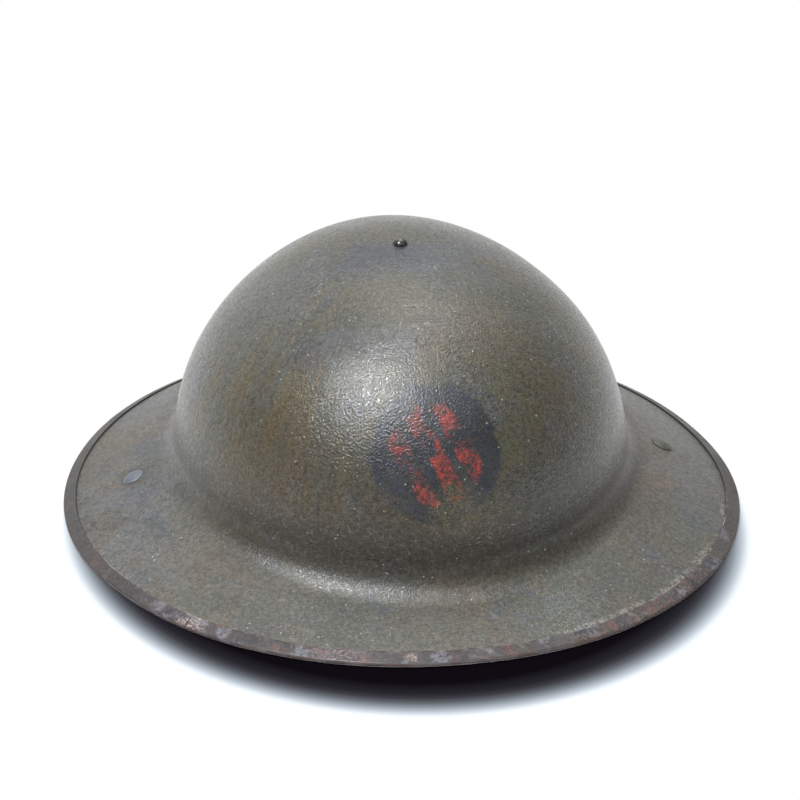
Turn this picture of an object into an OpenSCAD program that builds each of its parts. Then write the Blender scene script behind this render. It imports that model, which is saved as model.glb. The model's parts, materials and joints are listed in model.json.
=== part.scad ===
// Wide-brimmed steel helmet: an oval pressing with a folded rim strip, a riveted liner and a two-piece chin strap.
// Front is -Y, up is +Z, and the rim stands on the plane z = 0.

/* [Shell] */
// Width of the helmet from side to side, over the rim strip
helmet_w = 292; // [286:0.5:298]
// Length of the helmet from front to back, over the rim strip
helmet_l = 313.5; // [307:0.5:320]
// Height of the crown above the surface that the rim stands on
crown_h = 117.5; // [114:0.5:121]
// Width of the bowl at its widest line
bowl_w = 195.4; // [192:0.2:199]
// Length of the bowl at its widest line
bowl_l = 226.2; // [222:0.2:230]
// Height of the bowl's widest line
bowl_base_z = 24; // [22:0.5:26]
// Radius of the bowl's wall between the widest line and the crown
shoulder_r = 90; // [82:0.5:91]
// Radius of the hollow fillet between the bowl and the brim
fillet_r = 14; // [11:0.5:16]
// Height at which the bowl's wall turns into the fillet
fillet_z = 32; // [30:0.5:34]
// Thickness of the pressed sheet
steel_t = 1; // [0.8:0.1:1.3]
// Number of flats round the oval
facets = 72; // [48:4:84]

/* [Rim strip] */
// Thickness of the folded strip
strip_t = 0.6; // [0.4:0.1:0.8]
// Width of the strip's upper leaf, from the outer edge
strip_w = 6.8; // [5:0.2:9]
// Width of the strip's lower leaf, from the outer edge
strip_under_w = 6; // [5:0.2:9]
// Gap between the strip and the sheet that it grips
strip_gap = 0.05; // [0.02:0.01:0.1]
// Angle round the oval at which the ends of the strip meet, from +X towards +Y
joint_at = 225; // [200:5:250]
// Gap between the ends of the strip
joint_gap = 0.4; // [0.2:0.1:1]

/* [Crown rivet] */
// Diameter of the crown rivet's head
crown_head_d = 6.4; // [6:0.2:9]
// Height of the crown rivet's head
crown_head_h = 2.2; // [1.5:0.1:3]
// Diameter of the crown rivet's shank
crown_shank_d = 4; // [3:0.1:5]
// Length of one splayed prong from the rivet's axis
crown_prong_l = 6.5; // [5:0.5:7]
// Diameter of the leather washer
leather_washer_d = 22; // [16:1:24]
// Thickness of the leather washer
leather_washer_t = 1.6; // [1:0.1:2]
// Diameter of the steel washer
steel_washer_d = 16; // [14:0.5:17]
// Thickness of the steel washer
steel_washer_t = 1; // [0.6:0.1:1.4]

/* [Felt pad] */
// Outer diameter of the felt pad under the crown
pad_d = 64; // [50:1:76]
// Diameter of the hole round the rivet's prongs
pad_hole_d = 18; // [17.5:0.5:22]
// Thickness of the felt
pad_t = 5; // [3:0.5:7]

/* [Liner] */
// Outer diameter of a rubber buffer tube
tube_d = 13; // [11:0.5:14]
// Bore of a rubber buffer tube
tube_bore = 5; // [4.6:0.1:6]
// Height of the lower ends of the tubes
tube_low_z = 27; // [26:0.5:30]
// Height of the upper ends of the tubes
tube_high_z = 51; // [48:0.5:54]
// Number of buffer tubes
tube_count = 12; // [12:4:12]
// Thickness of the metal hoop
hoop_t = 0.5; // [0.4:0.1:0.8]
// Distance from the ends of the tubes to the edges of the hoop
hoop_inset = 2; // [1:0.5:4]
// Thickness of a buffer clip
clip_t = 0.5; // [0.4:0.1:0.7]
// Width of a buffer clip
clip_w = 3; // [2:0.2:3.2]
// Height of the headband's lower edge
band_low_z = 22; // [21:0.5:24]
// Height of the headband's upper edge
band_high_z = 56; // [54:0.5:60]
// Thickness of the headband
band_t = 2; // [1.6:0.1:3]
// Depth of the net's top under the top of the crown
net_drop = 23.5; // [19.5:0.5:31]
// Thickness of the net
net_t = 2; // [1.5:0.1:2.5]
// Depth to which the net's edge reaches inside the headband
net_lap = 4; // [2:0.5:8]
// Diameter of the lacing cord
lace_d = 2.4; // [2:0.1:2.8]
// Width of the two crossing straps
liner_strap_w = 25; // [18:1:26]
// Thickness of the two crossing straps
liner_strap_t = 1.5; // [1:0.1:2]
// Diameter of the shanks of the rivets between the straps and the hoop
hoop_rivet_d = 2.4; // [1.6:0.1:3]
// Diameter of the heads of these rivets
hoop_rivet_head_d = 5; // [4:0.2:6]
// Thickness of the heads of these rivets
hoop_head_t = 0.6; // [0.4:0.1:0.8]

/* [Bails and brackets] */
// Place of each bracket rivet across the brim, from 0 at the bowl to 1 at the rim
rivet_place = 0.375; // [0.34:0.005:0.4]
// Diameter of a bracket rivet's head
rivet_head_d = 9.6; // [8:0.2:11]
// Height of a bracket rivet's head
rivet_head_h = 1.5; // [1:0.1:2.2]
// Diameter of a bracket rivet's shank
rivet_shank_d = 4; // [3:0.1:5]
// Thickness of the bracket's sheet
bracket_t = 1; // [0.8:0.1:1.2]
// Width of the bracket
bracket_w = 12; // [10:0.5:14]
// Distance from the rivet to the hinge of the bail
bracket_reach = 9; // [8:0.5:10]
// Length of the bracket's leaf outwards of the rivet
bracket_tail = 6; // [5:0.5:9]
// Diameter of the bail's wire
wire_d = 3; // [2.4:0.1:3.2]
// Width between the arms of the bail
bail_in_w = 19; // [18:0.5:22]
// Length of the bail from its hinge to its bar
bail_l = 16; // [15:0.5:18]
// Radius of the wire's bends
wire_bend = 3; // [2.5:0.5:4]

/* [Chin strap] */
// Width of the leather strap
strap_w = 16; // [14:0.5:16.5]
// Thickness of the leather
strap_t = 2; // [1.6:0.1:2.4]
// Length of the long piece from the bail's bar to its tip
long_l = 185; // [150:5:190]
// Distance from the bail's bar to the buckle's bar on the short piece
short_l = 75; // [65:5:80]
// Angle by which each piece lies aside, so that the two lie clear of each other
lay_angle = 8; // [7.5:0.5:9]
// Length of the fold's slot
fold_l = 8; // [7:0.5:10]
// Length over which the fold closes
fold_taper = 8; // [6:0.5:10]
// Length of the riveted end behind the fold
fold_tail = 13; // [11:0.5:15]
// Diameter of the shanks of the strap's rivets
strap_rivet_d = 2.6; // [2:0.1:3]
// Diameter of the heads of the strap's rivets
strap_rivet_head_d = 5.6; // [4.5:0.1:6]
// Thickness of the heads of the strap's rivets
strap_rivet_head_t = 0.8; // [0.5:0.1:1]

/* [Buckle] */
// Diameter of the buckle's wire
buckle_wire_d = 2.6; // [2.2:0.1:2.8]
// Width between the arms of the buckle
buckle_in_w = 19; // [18:0.5:21]
// Length of the buckle between its two bars
buckle_l = 18; // [16:0.5:22]
// Outer diameter of the roller
roller_d = 4.2; // [3.8:0.1:4.6]
// Length of the roller
roller_l = 12; // [10:0.5:14]

/* [Clearances] */
// Gap between pieces that lie beside each other
side_gap = 0.3; // [0.25:0.05:0.35]
// Gap between pieces that are clamped on each other
seat_gap = 0.05; // [0.02:0.01:0.1]
// Radial gap of a pin that turns in a bore
run_gap = 0.06; // [0.03:0.01:0.1]
// Radial gap of a rivet in its hole
hole_gap = 0.1; // [0.05:0.05:0.2]
// Gap between the wire and the leather folded round it
fold_gap = 0.35; // [0.3:0.05:0.4]

/* [Hidden] */
$fn = 48;
crown_steps = 5;
wall_steps = 6;
fillet_steps = 4;
net_steps = 6;
strap_steps = 14;
pad_steps = 7;
cut = 1;

steel = "#6a675a";
rust = "#6b4d42";
dark_steel = "#3f4247";
tin = "#8a8a84";
hide = "#5a3d28";
oilcloth = "#2c2a28";
felt = "#8f8a7c";
twine = "#b9a983";
black_rubber = "#35322f";

// Section of the bowl

rise = crown_h - bowl_base_z;
fold_r = steel_t / 2 + strip_gap + strip_t;

// Radius of the wall arc: smaller than the crown's in a low bowl, and larger in one higher than its half width
function wall_radius(half) =
    rise < half ? min(shoulder_r, 0.97 * rise) : 1.08 * (half * half + rise * rise) / (2 * half);

// A section holds the wall centre's distance, the crown's radius and centre height, the angle where the two
// arcs meet, the fillet's centre, the end of the brim's middle line, the brim's slope, the wall's radius
// and the angle at which the wall turns into the fillet.
function section(bowl_half, rim_half) =
    let (r = wall_radius(bowl_half), d = bowl_half - r, lift = asin((fillet_z - bowl_base_z) / r))
    let (rc = (d * d + rise * rise - r * r) / (2 * (rise - r)))
    let (zc = crown_h - rc, join = r < rise ? atan2(bowl_base_z - zc, d) : atan2(zc - bowl_base_z, -d))
    let (fc = [d, bowl_base_z] + (r + fillet_r) * [cos(lift), sin(lift)])
    let (m = [rim_half - fold_r, fold_r])
    let (v = m - fc, brim_slope = -atan2(v.y, v.x) - asin((fillet_r + steel_t / 2) / norm(v)))
    [d, rc, zc, join, fc, m, brim_slope, r, lift];

side_section = section(bowl_w / 2, helmet_w / 2);
front_section = section(bowl_l / 2, helmet_l / 2);
slope = side_section[6];

// Point of the wall at a given depth under the outer skin, seen at an angle a above the level
function wall_point(s, a, depth) =
    a > s[3]
        ? [(s[1] - depth) * cos(a), s[2] + (s[1] - depth) * sin(a)]
        : [s[0] + (s[7] - depth) * cos(a), bowl_base_z + (s[7] - depth) * sin(a)];

function brim_up(s) = [sin(s[6]), cos(s[6])];
function brim_out(s) = [cos(s[6]), -sin(s[6])];

// Skin of the shell from the crown to the brim's edge, at a given depth under the outer skin
function skin(s, depth) = concat(
    [for (i = [0:crown_steps]) wall_point(s, 90 - (90 - s[3]) * i / crown_steps, depth)],
    [for (i = [1:wall_steps]) wall_point(s, s[3] + (s[8] - s[3]) * i / wall_steps, depth)],
    [for (i = [1:fillet_steps])
        let (a = 180 + s[8] + (90 - s[6] - s[8]) * i / fillet_steps)
        s[4] + (fillet_r + depth) * [cos(a), sin(a)]],
    [s[5] + (steel_t / 2 - depth) * brim_up(s)]
);

// Turning a section round the oval

function reversed(list) = [for (i = [len(list) - 1:-1:0]) list[i]];

// Point at an angle t round the oval, between a point of the side section and one of the front section
function oval_point(p, q, t) = [p.x * cos(t), q.x * sin(t), p.y * pow(cos(t), 2) + q.y * pow(sin(t), 2)];

function turn(i) = joint_at + 360 * i / facets;

// Two triangles between the edges a-b and c-d of neighbouring rings
function strip(a, b, c, d) = [[a, c, b], [b, c, d]];

// Solid whose two section lines both start and end on the axis
module domed(side, front) {
    n = len(side);
    rings = [for (k = [1:n - 2]) for (i = [0:facets - 1]) oval_point(side[k], front[k], turn(i))];
    first = len(rings);
    last = first + 1;
    low = (n - 3) * facets;
    faces = concat(
        [for (i = [0:facets - 1]) [first, i, (i + 1) % facets]],
        [for (k = [0:n - 4]) for (i = [0:facets - 1])
            let (j = (i + 1) % facets)
            each strip(k * facets + i, k * facets + j, (k + 1) * facets + i, (k + 1) * facets + j)],
        [for (i = [0:facets - 1]) [last, low + (i + 1) % facets, low + i]]
    );
    ends = [oval_point(side[0], front[0], 0), oval_point(side[n - 1], front[n - 1], 0)];
    polyhedron(concat(rings, ends), [for (f = faces) reversed(f)]);
}

// Closed section carried all the way round the oval
module hooped(side, front) {
    n = len(side);
    points = [for (i = [0:facets - 1]) for (k = [0:n - 1]) oval_point(side[k], front[k], turn(i))];
    faces = [for (i = [0:facets - 1]) for (k = [0:n - 1])
        let (j = (i + 1) % facets, l = (k + 1) % n)
        each strip(i * n + k, i * n + l, j * n + k, j * n + l)];
    polyhedron(points, [for (f = faces) reversed(f)]);
}

// Closed section carried round the oval from one end face to the other, with a gap at the joint
module split_hoop(side, front, gap_angle) {
    n = len(side);
    angles = concat([turn(0) + gap_angle / 2], [for (i = [1:facets - 1]) turn(i)], [turn(facets) - gap_angle / 2]);
    points = [for (t = angles) for (k = [0:n - 1]) oval_point(side[k], front[k], t)];
    faces = concat(
        [for (i = [0:facets - 1]) for (k = [0:n - 1])
            let (l = (k + 1) % n)
            each strip(i * n + k, i * n + l, (i + 1) * n + k, (i + 1) * n + l)],
        [[for (k = [0:n - 1]) k]],
        [[for (k = [n - 1:-1:0]) facets * n + k]]
    );
    polyhedron(points, [for (f = faces) reversed(f)]);
}

// Frame of the brim's upper face at a bracket rivet: side is 1 on the right and -1 on the left

rivet_x = (bowl_w + (helmet_w - bowl_w) * rivet_place) / 2;
brim_z = side_section[5].y + (steel_t / 2 * brim_up(side_section)).y
    + (side_section[5].x + (steel_t / 2 * brim_up(side_section)).x - rivet_x) * tan(slope);

module at_rivet(side) {
    mirror([side < 0 ? 1 : 0, 0, 0])
        translate([rivet_x, 0, brim_z])
            rotate([0, slope, 0])
                children();
}

// Liner

// Depths under the outer skin
tube_depth = steel_t + side_gap + tube_d / 2;
hoop_depth = tube_depth + tube_d / 2 + side_gap;
clip_depth = hoop_depth + hoop_t + side_gap;
band_depth = clip_depth + clip_t + side_gap;
net_depth = band_depth + band_t + side_gap;
liner_strap_depth = hoop_depth - side_gap - liner_strap_t;
net_low_z = band_high_z - net_lap;
net_top_z = crown_h - net_drop;

// The tubes lie on a straight line between two heights of the wall, and the liner's other layers are parallel to it
tube_mid_z = (tube_low_z + tube_high_z) / 2;
tube_rise = tube_high_z - tube_low_z;
function wall_half(s, z) = s[0] + sqrt(pow(s[7] - tube_depth, 2) - pow(z - bowl_base_z, 2));
function lean(s) = atan((wall_half(s, tube_low_z) - wall_half(s, tube_high_z)) / tube_rise);
function lean_half(s, z, depth) =
    wall_half(s, tube_low_z) - (z - tube_low_z) * tan(lean(s)) - (depth - tube_depth) / cos(lean(s));
function lean_point(s, z, depth) = [lean_half(s, z, depth), z];
function lean_at(t) = lean(side_section) * pow(cos(t), 2) + lean(front_section) * pow(sin(t), 2);

tube_l = tube_rise / cos(lean(side_section));

// Frame on the liner at an angle t round the oval: X points out of the wall and Z up along it
module on_liner(t, depth) {
    a = lean_half(side_section, tube_mid_z, depth);
    b = lean_half(front_section, tube_mid_z, depth);
    translate([a * cos(t), b * sin(t), tube_mid_z])
        rotate([0, -lean_at(t), atan2(sin(t) / b, cos(t) / a)])
            children();
}

module along_x(r, from, to) {
    translate([from, 0, 0])
        rotate([0, 90, 0])
            cylinder(r = r, h = to - from);
}

// Crown stack, from the steel down

// Drop of the shell's first facet under the crown, at the washer's edge
crown_drop = leather_washer_d / 2 * tan((90 - side_section[3]) / crown_steps / 2);
crown_flat = 0.9;
leather_washer_z = crown_h - steel_t - crown_drop - seat_gap - leather_washer_t;
fore_strap_z = leather_washer_z - seat_gap;
cross_strap_z = fore_strap_z - liner_strap_t - seat_gap;
steel_washer_z = cross_strap_z - liner_strap_t - seat_gap - steel_washer_t;
prong_t = 0.9;
prong_w = 3;
prong_z = steel_washer_z - seat_gap - prong_t;

// Section line of a liner strap from its lower end to the crown, at the face that lies extra deep
function liner_strap_line(s, top_z, extra) =
    let (end = liner_strap_depth, crown = crown_h - top_z - crown_flat)
    let (a1 = asin((tube_high_z - bowl_base_z) / (s[7] - end)))
    concat(
        [lean_point(s, tube_low_z + 2 * hoop_inset, end + extra)],
        [for (i = [0:strap_steps])
            let (a = a1 + (90 - a1) * i / strap_steps)
            let (g = pow((90 - a) / (90 - a1), 2))
            let (p = wall_point(s, a, crown + (end - crown) * g + extra))
            [p.x, min(p.y, top_z - extra)]]
    );

// The same line on the other side of the axis, from the crown down
function across(line) = [for (i = [len(line) - 2:-1:0]) [-line[i].x, line[i].y]];

module liner_strap(s, top_z, turned) {
    outer = liner_strap_line(s, top_z, 0);
    inner = liner_strap_line(s, top_z, liner_strap_t);
    difference() {
        rotate([90, 0, turned])
            linear_extrude(liner_strap_w, center = true)
                polygon(concat(outer, across(outer), reversed(across(inner)), reversed(inner)));
        translate([0, 0, top_z - liner_strap_t - cut])
            cylinder(d = crown_shank_d + 2 * hole_gap, h = liner_strap_t + 2 * cut);
        for (t = [turned, turned + 180])
            on_liner(t, hoop_depth)
                along_x(hoop_rivet_d / 2 + hole_gap, -cut, liner_strap_t + side_gap + cut);
    }
}

// Bails

barrel_r = wire_d / 2 + run_gap + bracket_t;
barrel_z = -steel_t - side_gap - barrel_r;
hinge_x = rivet_x - bracket_reach * cos(slope) + barrel_z * sin(slope);
hinge_z = brim_z + bracket_reach * sin(slope) + barrel_z * cos(slope);
bail_half = (bail_in_w + wire_d) / 2;

// Chin strap

fold_r_in = wire_d / 2 + fold_gap;
fold_slack = strap_w / 2 * sin(lay_angle) + 0.2;
strap_z = side_gap + strap_rivet_head_t + seat_gap;
bar_z = strap_z + strap_t + fold_r_in;
bail_angle = asin((hinge_z - bar_z) / bail_l);
bar_x = hinge_x - bail_l * cos(bail_angle);
buckle_r_in = buckle_wire_d / 2 + fold_gap;
buckle_bar_z = strap_z + strap_t + buckle_r_in;
buckle_half = (buckle_in_w + buckle_wire_d) / 2;
buckle_angle = asin((buckle_bar_z - side_gap - roller_d / 2) / buckle_l);

// Closed loop of round wire in the XY plane, from a bar on the Y axis to a bar at x = l
module wire_loop(d, half, l) {
    for (x = [0, l])
        translate([x, 0, 0])
            rotate([90, 0, 0])
                cylinder(d = d, h = 2 * (half - wire_bend), center = true);
    for (s = [-1, 1]) {
        translate([wire_bend, s * half, 0])
            rotate([0, 90, 0])
                cylinder(d = d, h = l - 2 * wire_bend);
        for (c = [[wire_bend, s < 0 ? 180 : 90], [l - wire_bend, s < 0 ? 270 : 0]])
            translate([c[0], s * (half - wire_bend), 0])
                rotate([0, 0, c[1]])
                    rotate_extrude(angle = 90)
                        translate([wire_bend, 0])
                            circle(d = d);
    }
}

// Section of a folded strap end, drawn from the bar's centre along the strap
module fold_section(r_in, slack) {
    r_out = r_in + strap_t;
    close_x = fold_l + fold_taper;
    difference() {
        union() {
            translate([-slack, 0])
                circle(r_out);
            polygon([
                [-slack, -r_out], [close_x + fold_tail, -r_out], [close_x + fold_tail, strap_t - r_in],
                [close_x, strap_t - r_in], [fold_l, r_out], [-slack, r_out]
            ]);
        }
        translate([-slack, 0])
            circle(r_in);
        polygon([[-slack, -r_in], [close_x - strap_t, -r_in], [fold_l - strap_t / 2, r_in], [-slack, r_in]]);
    }
}

module strap_rivet_places() {
    for (f = [0.28, 0.76])
        translate([fold_l + fold_taper + fold_tail * f, 0, 0])
            children();
}

// Frame of a chin strap piece on its bail's bar: X runs along the strap, and side is 1 on the right
module on_bar(side) {
    mirror([side > 0 ? 1 : 0, 0, 0])
        translate([-bar_x, 0, bar_z])
            rotate([0, 0, side * lay_angle])
                children();
}

module strap_holes() {
    strap_rivet_places()
        translate([0, 0, -strap_t - fold_r_in - cut])
            cylinder(d = strap_rivet_d + 2 * hole_gap, h = 2 * strap_t + 2 * cut);
}

// One rivet through two layers of leather whose lower face is at z = 0
module strap_rivet() {
    translate([0, 0, -seat_gap - strap_rivet_head_t])
        cylinder(d = strap_rivet_head_d, h = strap_rivet_head_t);
    translate([0, 0, -seat_gap - strap_rivet_head_t / 2])
        cylinder(d = strap_rivet_d, h = 2 * strap_t + 2 * seat_gap + strap_rivet_head_t);
    translate([0, 0, 2 * strap_t + seat_gap])
        cylinder(d = strap_rivet_head_d, h = strap_rivet_head_t);
}

module strap_rivets(side) {
    on_bar(side)
        translate([0, 0, strap_z - bar_z])
            strap_rivet_places()
                strap_rivet();
}

// Frame of the buckle on the short strap's far fold: X runs away from the strap
module on_buckle_bar() {
    on_bar(1)
        translate([short_l, 0, buckle_bar_z - bar_z])
            rotate([0, buckle_angle, 0])
                children();
}

// Split rivet with its head's seat at z = 0 and its prongs folded out at depth
module split_rivet(head_d, head_h, shank_d, depth, prong_l) {
    ball_r = (head_d * head_d / 4 + head_h * head_h) / (2 * head_h);
    intersection() {
        translate([0, 0, head_h - ball_r])
            sphere(ball_r);
        cylinder(d = head_d + cut, h = head_h + cut);
    }
    translate([0, 0, -depth])
        cylinder(d = shank_d, h = depth + head_h / 2);
    for (s = [0, 180])
        rotate([0, 0, s])
            translate([shank_d / 4, -prong_w / 2, -depth - prong_t])
                cube([prong_l - shank_d / 4, prong_w, prong_t + 0.01]);
    translate([0, 0, -depth - prong_t])
        cylinder(d = shank_d, h = prong_t + 0.01);
}

// Pieces

module shell() {
    color(steel)
        difference() {
            domed(
                concat(skin(side_section, 0), reversed(skin(side_section, steel_t))),
                concat(skin(front_section, 0), reversed(skin(front_section, steel_t)))
            );
            translate([0, 0, crown_h - steel_t - cut])
                cylinder(d = crown_shank_d + 2 * hole_gap, h = steel_t + 2 * cut);
            for (side = [-1, 1])
                at_rivet(side)
                    translate([0, 0, -steel_t - cut])
                        cylinder(d = rivet_shank_d + 2 * hole_gap, h = steel_t + 2 * cut);
        }
}

// Corners of the strip round the brim's edge, with one flat that lies on the plane z = 0
function strip_line(s) =
    let (m = s[5], u = brim_out(s), n = brim_up(s), hi = steel_t / 2 + strip_gap)
    let (facing = [450 - s[6], 360, 315, 270, 270 - s[6]])
    concat(
        [m - (strip_w - fold_r) * u + fold_r * n],
        [for (i = [0:3])
            let (mid = (facing[i] + facing[i + 1]) / 2)
            m + fold_r / cos((facing[i] - facing[i + 1]) / 2) * [cos(mid), sin(mid)]],
        [m - (strip_under_w - fold_r) * u - fold_r * n],
        [m - (strip_under_w - fold_r) * u - hi * n],
        [m + 3 * strip_gap * u - hi * n],
        [m + 3 * strip_gap * u + hi * n],
        [m - (strip_w - fold_r) * u + hi * n]
    );

module rim_band() {
    color(rust)
        split_hoop(strip_line(side_section), strip_line(front_section), 360 * joint_gap / (PI * helmet_l));
}

module crown_rivet() {
    color(dark_steel)
        translate([0, 0, crown_h])
            split_rivet(crown_head_d, crown_head_h, crown_shank_d, crown_h - prong_z - prong_t, crown_prong_l);
}

module crown_leather_washer() {
    color(hide)
        translate([0, 0, leather_washer_z])
            difference() {
                cylinder(d = leather_washer_d, h = leather_washer_t);
                translate([0, 0, -cut])
                    cylinder(d = crown_shank_d + 2 * hole_gap, h = leather_washer_t + 2 * cut);
            }
}

module crown_steel_washer() {
    color(tin)
        translate([0, 0, steel_washer_z])
            difference() {
                cylinder(d = steel_washer_d, h = steel_washer_t);
                translate([0, 0, -cut])
                    cylinder(d = crown_shank_d + 2 * hole_gap, h = steel_washer_t + 2 * cut);
            }
}

// Ring of felt that follows the lower face of the strap above it
module crown_pad() {
    strap = reversed(liner_strap_line(side_section, cross_strap_z, liner_strap_t));
    pad_w = (pad_d - pad_hole_d) / 2;
    top = [for (i = [0:pad_steps])
        let (r = pad_hole_d / 2 + pad_w * i / pad_steps)
        [r, lookup(r, strap) - side_gap]];
    color(felt)
        rotate_extrude($fn = 64)
            polygon(concat(top, [for (p = reversed(top)) [p.x, p.y - pad_t]]));
}

module liner_strap_fore_aft() {
    color(oilcloth)
        liner_strap(front_section, fore_strap_z, 90);
}

module liner_strap_across() {
    color(oilcloth)
        liner_strap(side_section, cross_strap_z, 0);
}

module hoop_rivets() {
    // the inner head is flat, so it clears the bend between two facets of the hoop
    bend = hoop_rivet_head_d / 2 * tan(180 / facets * bowl_l / bowl_w);
    inner = -hoop_t - seat_gap - bend;
    outer = liner_strap_t + side_gap + seat_gap;
    color(dark_steel)
        for (t = [0:90:270])
            on_liner(t, hoop_depth) {
                along_x(hoop_rivet_d / 2, inner - hoop_head_t / 2, outer + hoop_head_t / 2);
                along_x(hoop_rivet_head_d / 2, inner - hoop_head_t, inner);
                along_x(hoop_rivet_head_d / 2, outer, outer + hoop_head_t);
            }
}

function flat_ring(s, low, high, depth, t) = [
    lean_point(s, low, depth), lean_point(s, high, depth), lean_point(s, high, depth + t), lean_point(s, low, depth + t)
];

module liner_hoop() {
    low = tube_low_z + hoop_inset;
    high = tube_high_z - hoop_inset;
    color(tin)
        difference() {
            hooped(flat_ring(side_section, low, high, hoop_depth, hoop_t), flat_ring(front_section, low, high, hoop_depth, hoop_t));
            for (t = [0:90:270])
                on_liner(t, hoop_depth)
                    along_x(hoop_rivet_d / 2 + hole_gap, -hoop_t - cut, cut);
        }
}

function tube_turn(i) = 360 * (i + 0.5) / tube_count;

module buffer_clips() {
    // the leg in the tube's bore touches neither side of it with its corners
    out_x = clip_t - sqrt(pow(tube_bore / 2 - hole_gap, 2) - pow(clip_w / 2, 2));
    in_x = tube_depth - clip_depth - clip_t;
    color(tin)
        for (i = [0:tube_count - 1])
            on_liner(tube_turn(i), tube_depth)
                difference() {
                    translate([in_x, -clip_w / 2, -tube_l / 2 - side_gap - clip_t])
                        cube([out_x - in_x, clip_w, tube_l + 2 * side_gap + 2 * clip_t]);
                    translate([in_x + clip_t, -clip_w, -tube_l / 2 - side_gap])
                        cube([out_x - in_x - 2 * clip_t, 2 * clip_w, tube_l + 2 * side_gap]);
                }
}

module buffer_tube(i) {
    color(black_rubber)
        on_liner(tube_turn(i), tube_depth)
            difference() {
                cylinder(d = tube_d, h = tube_l, center = true);
                cylinder(d = tube_bore, h = tube_l + 2 * cut, center = true);
            }
}

// Section of the headband, with its folded edges rounded off
function band_line(s) =
    let (low = band_low_z, high = band_high_z, o = band_depth, r = band_t / 3)
    [
        lean_point(s, low + r, o), lean_point(s, high - r, o), lean_point(s, high, o + r),
        lean_point(s, high, o + band_t - r), lean_point(s, high - r, o + band_t), lean_point(s, low + r, o + band_t),
        lean_point(s, low, o + band_t - r), lean_point(s, low, o + r)
    ];

module headband() {
    color(hide)
        hooped(band_line(side_section), band_line(front_section));
}

// Upper face of the net, or the lower one where inset is the net's thickness
function net_line(s, inset) =
    let (half = lean_half(s, net_low_z, net_depth) - inset)
    [for (i = [0:net_steps])
        let (a = 90 - 90 * i / net_steps)
        [half * cos(a), net_low_z + (net_top_z - net_low_z - inset) * sin(a)]];

module liner_net() {
    color(twine)
        domed(
            concat(net_line(side_section, 0), reversed(net_line(side_section, net_t))),
            concat(net_line(front_section, 0), reversed(net_line(front_section, net_t)))
        );
}

function lace_line(s) =
    let (c = lean_point(s, band_high_z + side_gap + lace_d / 2, band_depth + band_t / 3))
    [for (a = [150:-60:-150]) c + lace_d / 2 * [cos(a), sin(a)]];

module liner_lace() {
    color(twine)
        hooped(lace_line(side_section), lace_line(front_section));
}

module bail_bracket(side) {
    color(dark_steel)
        at_rivet(side)
            difference() {
                union() {
                    translate([-bracket_reach, 0, barrel_z])
                        rotate([90, 0, 0])
                            cylinder(r = barrel_r, h = bracket_w, center = true);
                    translate([-bracket_reach, -bracket_w / 2, barrel_z + barrel_r - 2 * bracket_t])
                        cube([bracket_reach + bracket_tail, bracket_w, 2 * bracket_t]);
                }
                translate([-bracket_reach, 0, barrel_z])
                    rotate([90, 0, 0])
                        cylinder(d = wire_d + 2 * run_gap, h = bracket_w + 2 * cut, center = true);
                translate([0, 0, barrel_z - barrel_r])
                    cylinder(d = rivet_shank_d + 2 * hole_gap, h = 2 * barrel_r + cut);
            }
}

module bracket_rivet(side) {
    color(dark_steel)
        at_rivet(side)
            translate([0, 0, seat_gap])
                rotate([0, 0, 90])
                    split_rivet(
                        rivet_head_d, rivet_head_h, rivet_shank_d,
                        2 * seat_gap + steel_t + side_gap + 2 * bracket_t, bracket_w / 2 - 0.5
                    );
}

module bail(side) {
    color(dark_steel)
        mirror([side < 0 ? 1 : 0, 0, 0])
            translate([hinge_x, 0, hinge_z])
                rotate([0, 180 - bail_angle, 0])
                    wire_loop(wire_d, bail_half, bail_l);
}

module chin_strap_long() {
    tip = strap_w / 2;
    color(hide)
        on_bar(-1)
            difference() {
                union() {
                    rotate([90, 0, 0])
                        linear_extrude(strap_w, center = true)
                            fold_section(fold_r_in, fold_slack);
                    translate([0, 0, strap_z - bar_z])
                        linear_extrude(strap_t)
                            polygon([
                                [fold_l, -strap_w / 2], [long_l - tip, -strap_w / 2], [long_l - tip / 4, -tip / 2],
                                [long_l, 0], [long_l - tip / 4, tip / 2], [long_l - tip, strap_w / 2], [fold_l, strap_w / 2]
                            ]);
                }
                strap_holes();
            }
}

module chin_strap_short() {
    color(hide)
        on_bar(1)
            difference() {
                union() {
                    rotate([90, 0, 0])
                        linear_extrude(strap_w, center = true)
                            fold_section(fold_r_in, fold_slack);
                    translate([short_l, 0, buckle_bar_z - bar_z])
                        mirror([1, 0, 0])
                            rotate([90, 0, 0])
                                linear_extrude(strap_w, center = true)
                                    fold_section(buckle_r_in, 0);
                    translate([fold_l, -strap_w / 2, strap_z - bar_z])
                        cube([short_l - 2 * fold_l, strap_w, strap_t]);
                }
                strap_holes();
                translate([short_l, 0, 0])
                    mirror([1, 0, 0])
                        strap_holes();
            }
}

module long_strap_rivets() {
    color(dark_steel)
        strap_rivets(-1);
}

module short_strap_rivets() {
    color(dark_steel) {
        strap_rivets(1);
        on_bar(1)
            translate([short_l, 0, strap_z - bar_z])
                mirror([1, 0, 0])
                    strap_rivet_places()
                        strap_rivet();
    }
}

module buckle_frame() {
    color(dark_steel)
        on_buckle_bar()
            wire_loop(buckle_wire_d, buckle_half, buckle_l);
}

module buckle_roller() {
    color(tin)
        on_buckle_bar()
            translate([buckle_l, 0, 0])
                rotate([90, 0, 0])
                    difference() {
                        cylinder(d = roller_d, h = roller_l, center = true);
                        cylinder(d = buckle_wire_d + 2 * run_gap, h = roller_l + 2 * cut, center = true);
                    }
}

TUBES = [for (i = [1:tube_count]) str("buffer_tube_", i < 10 ? "0" : "", i)];

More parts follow.
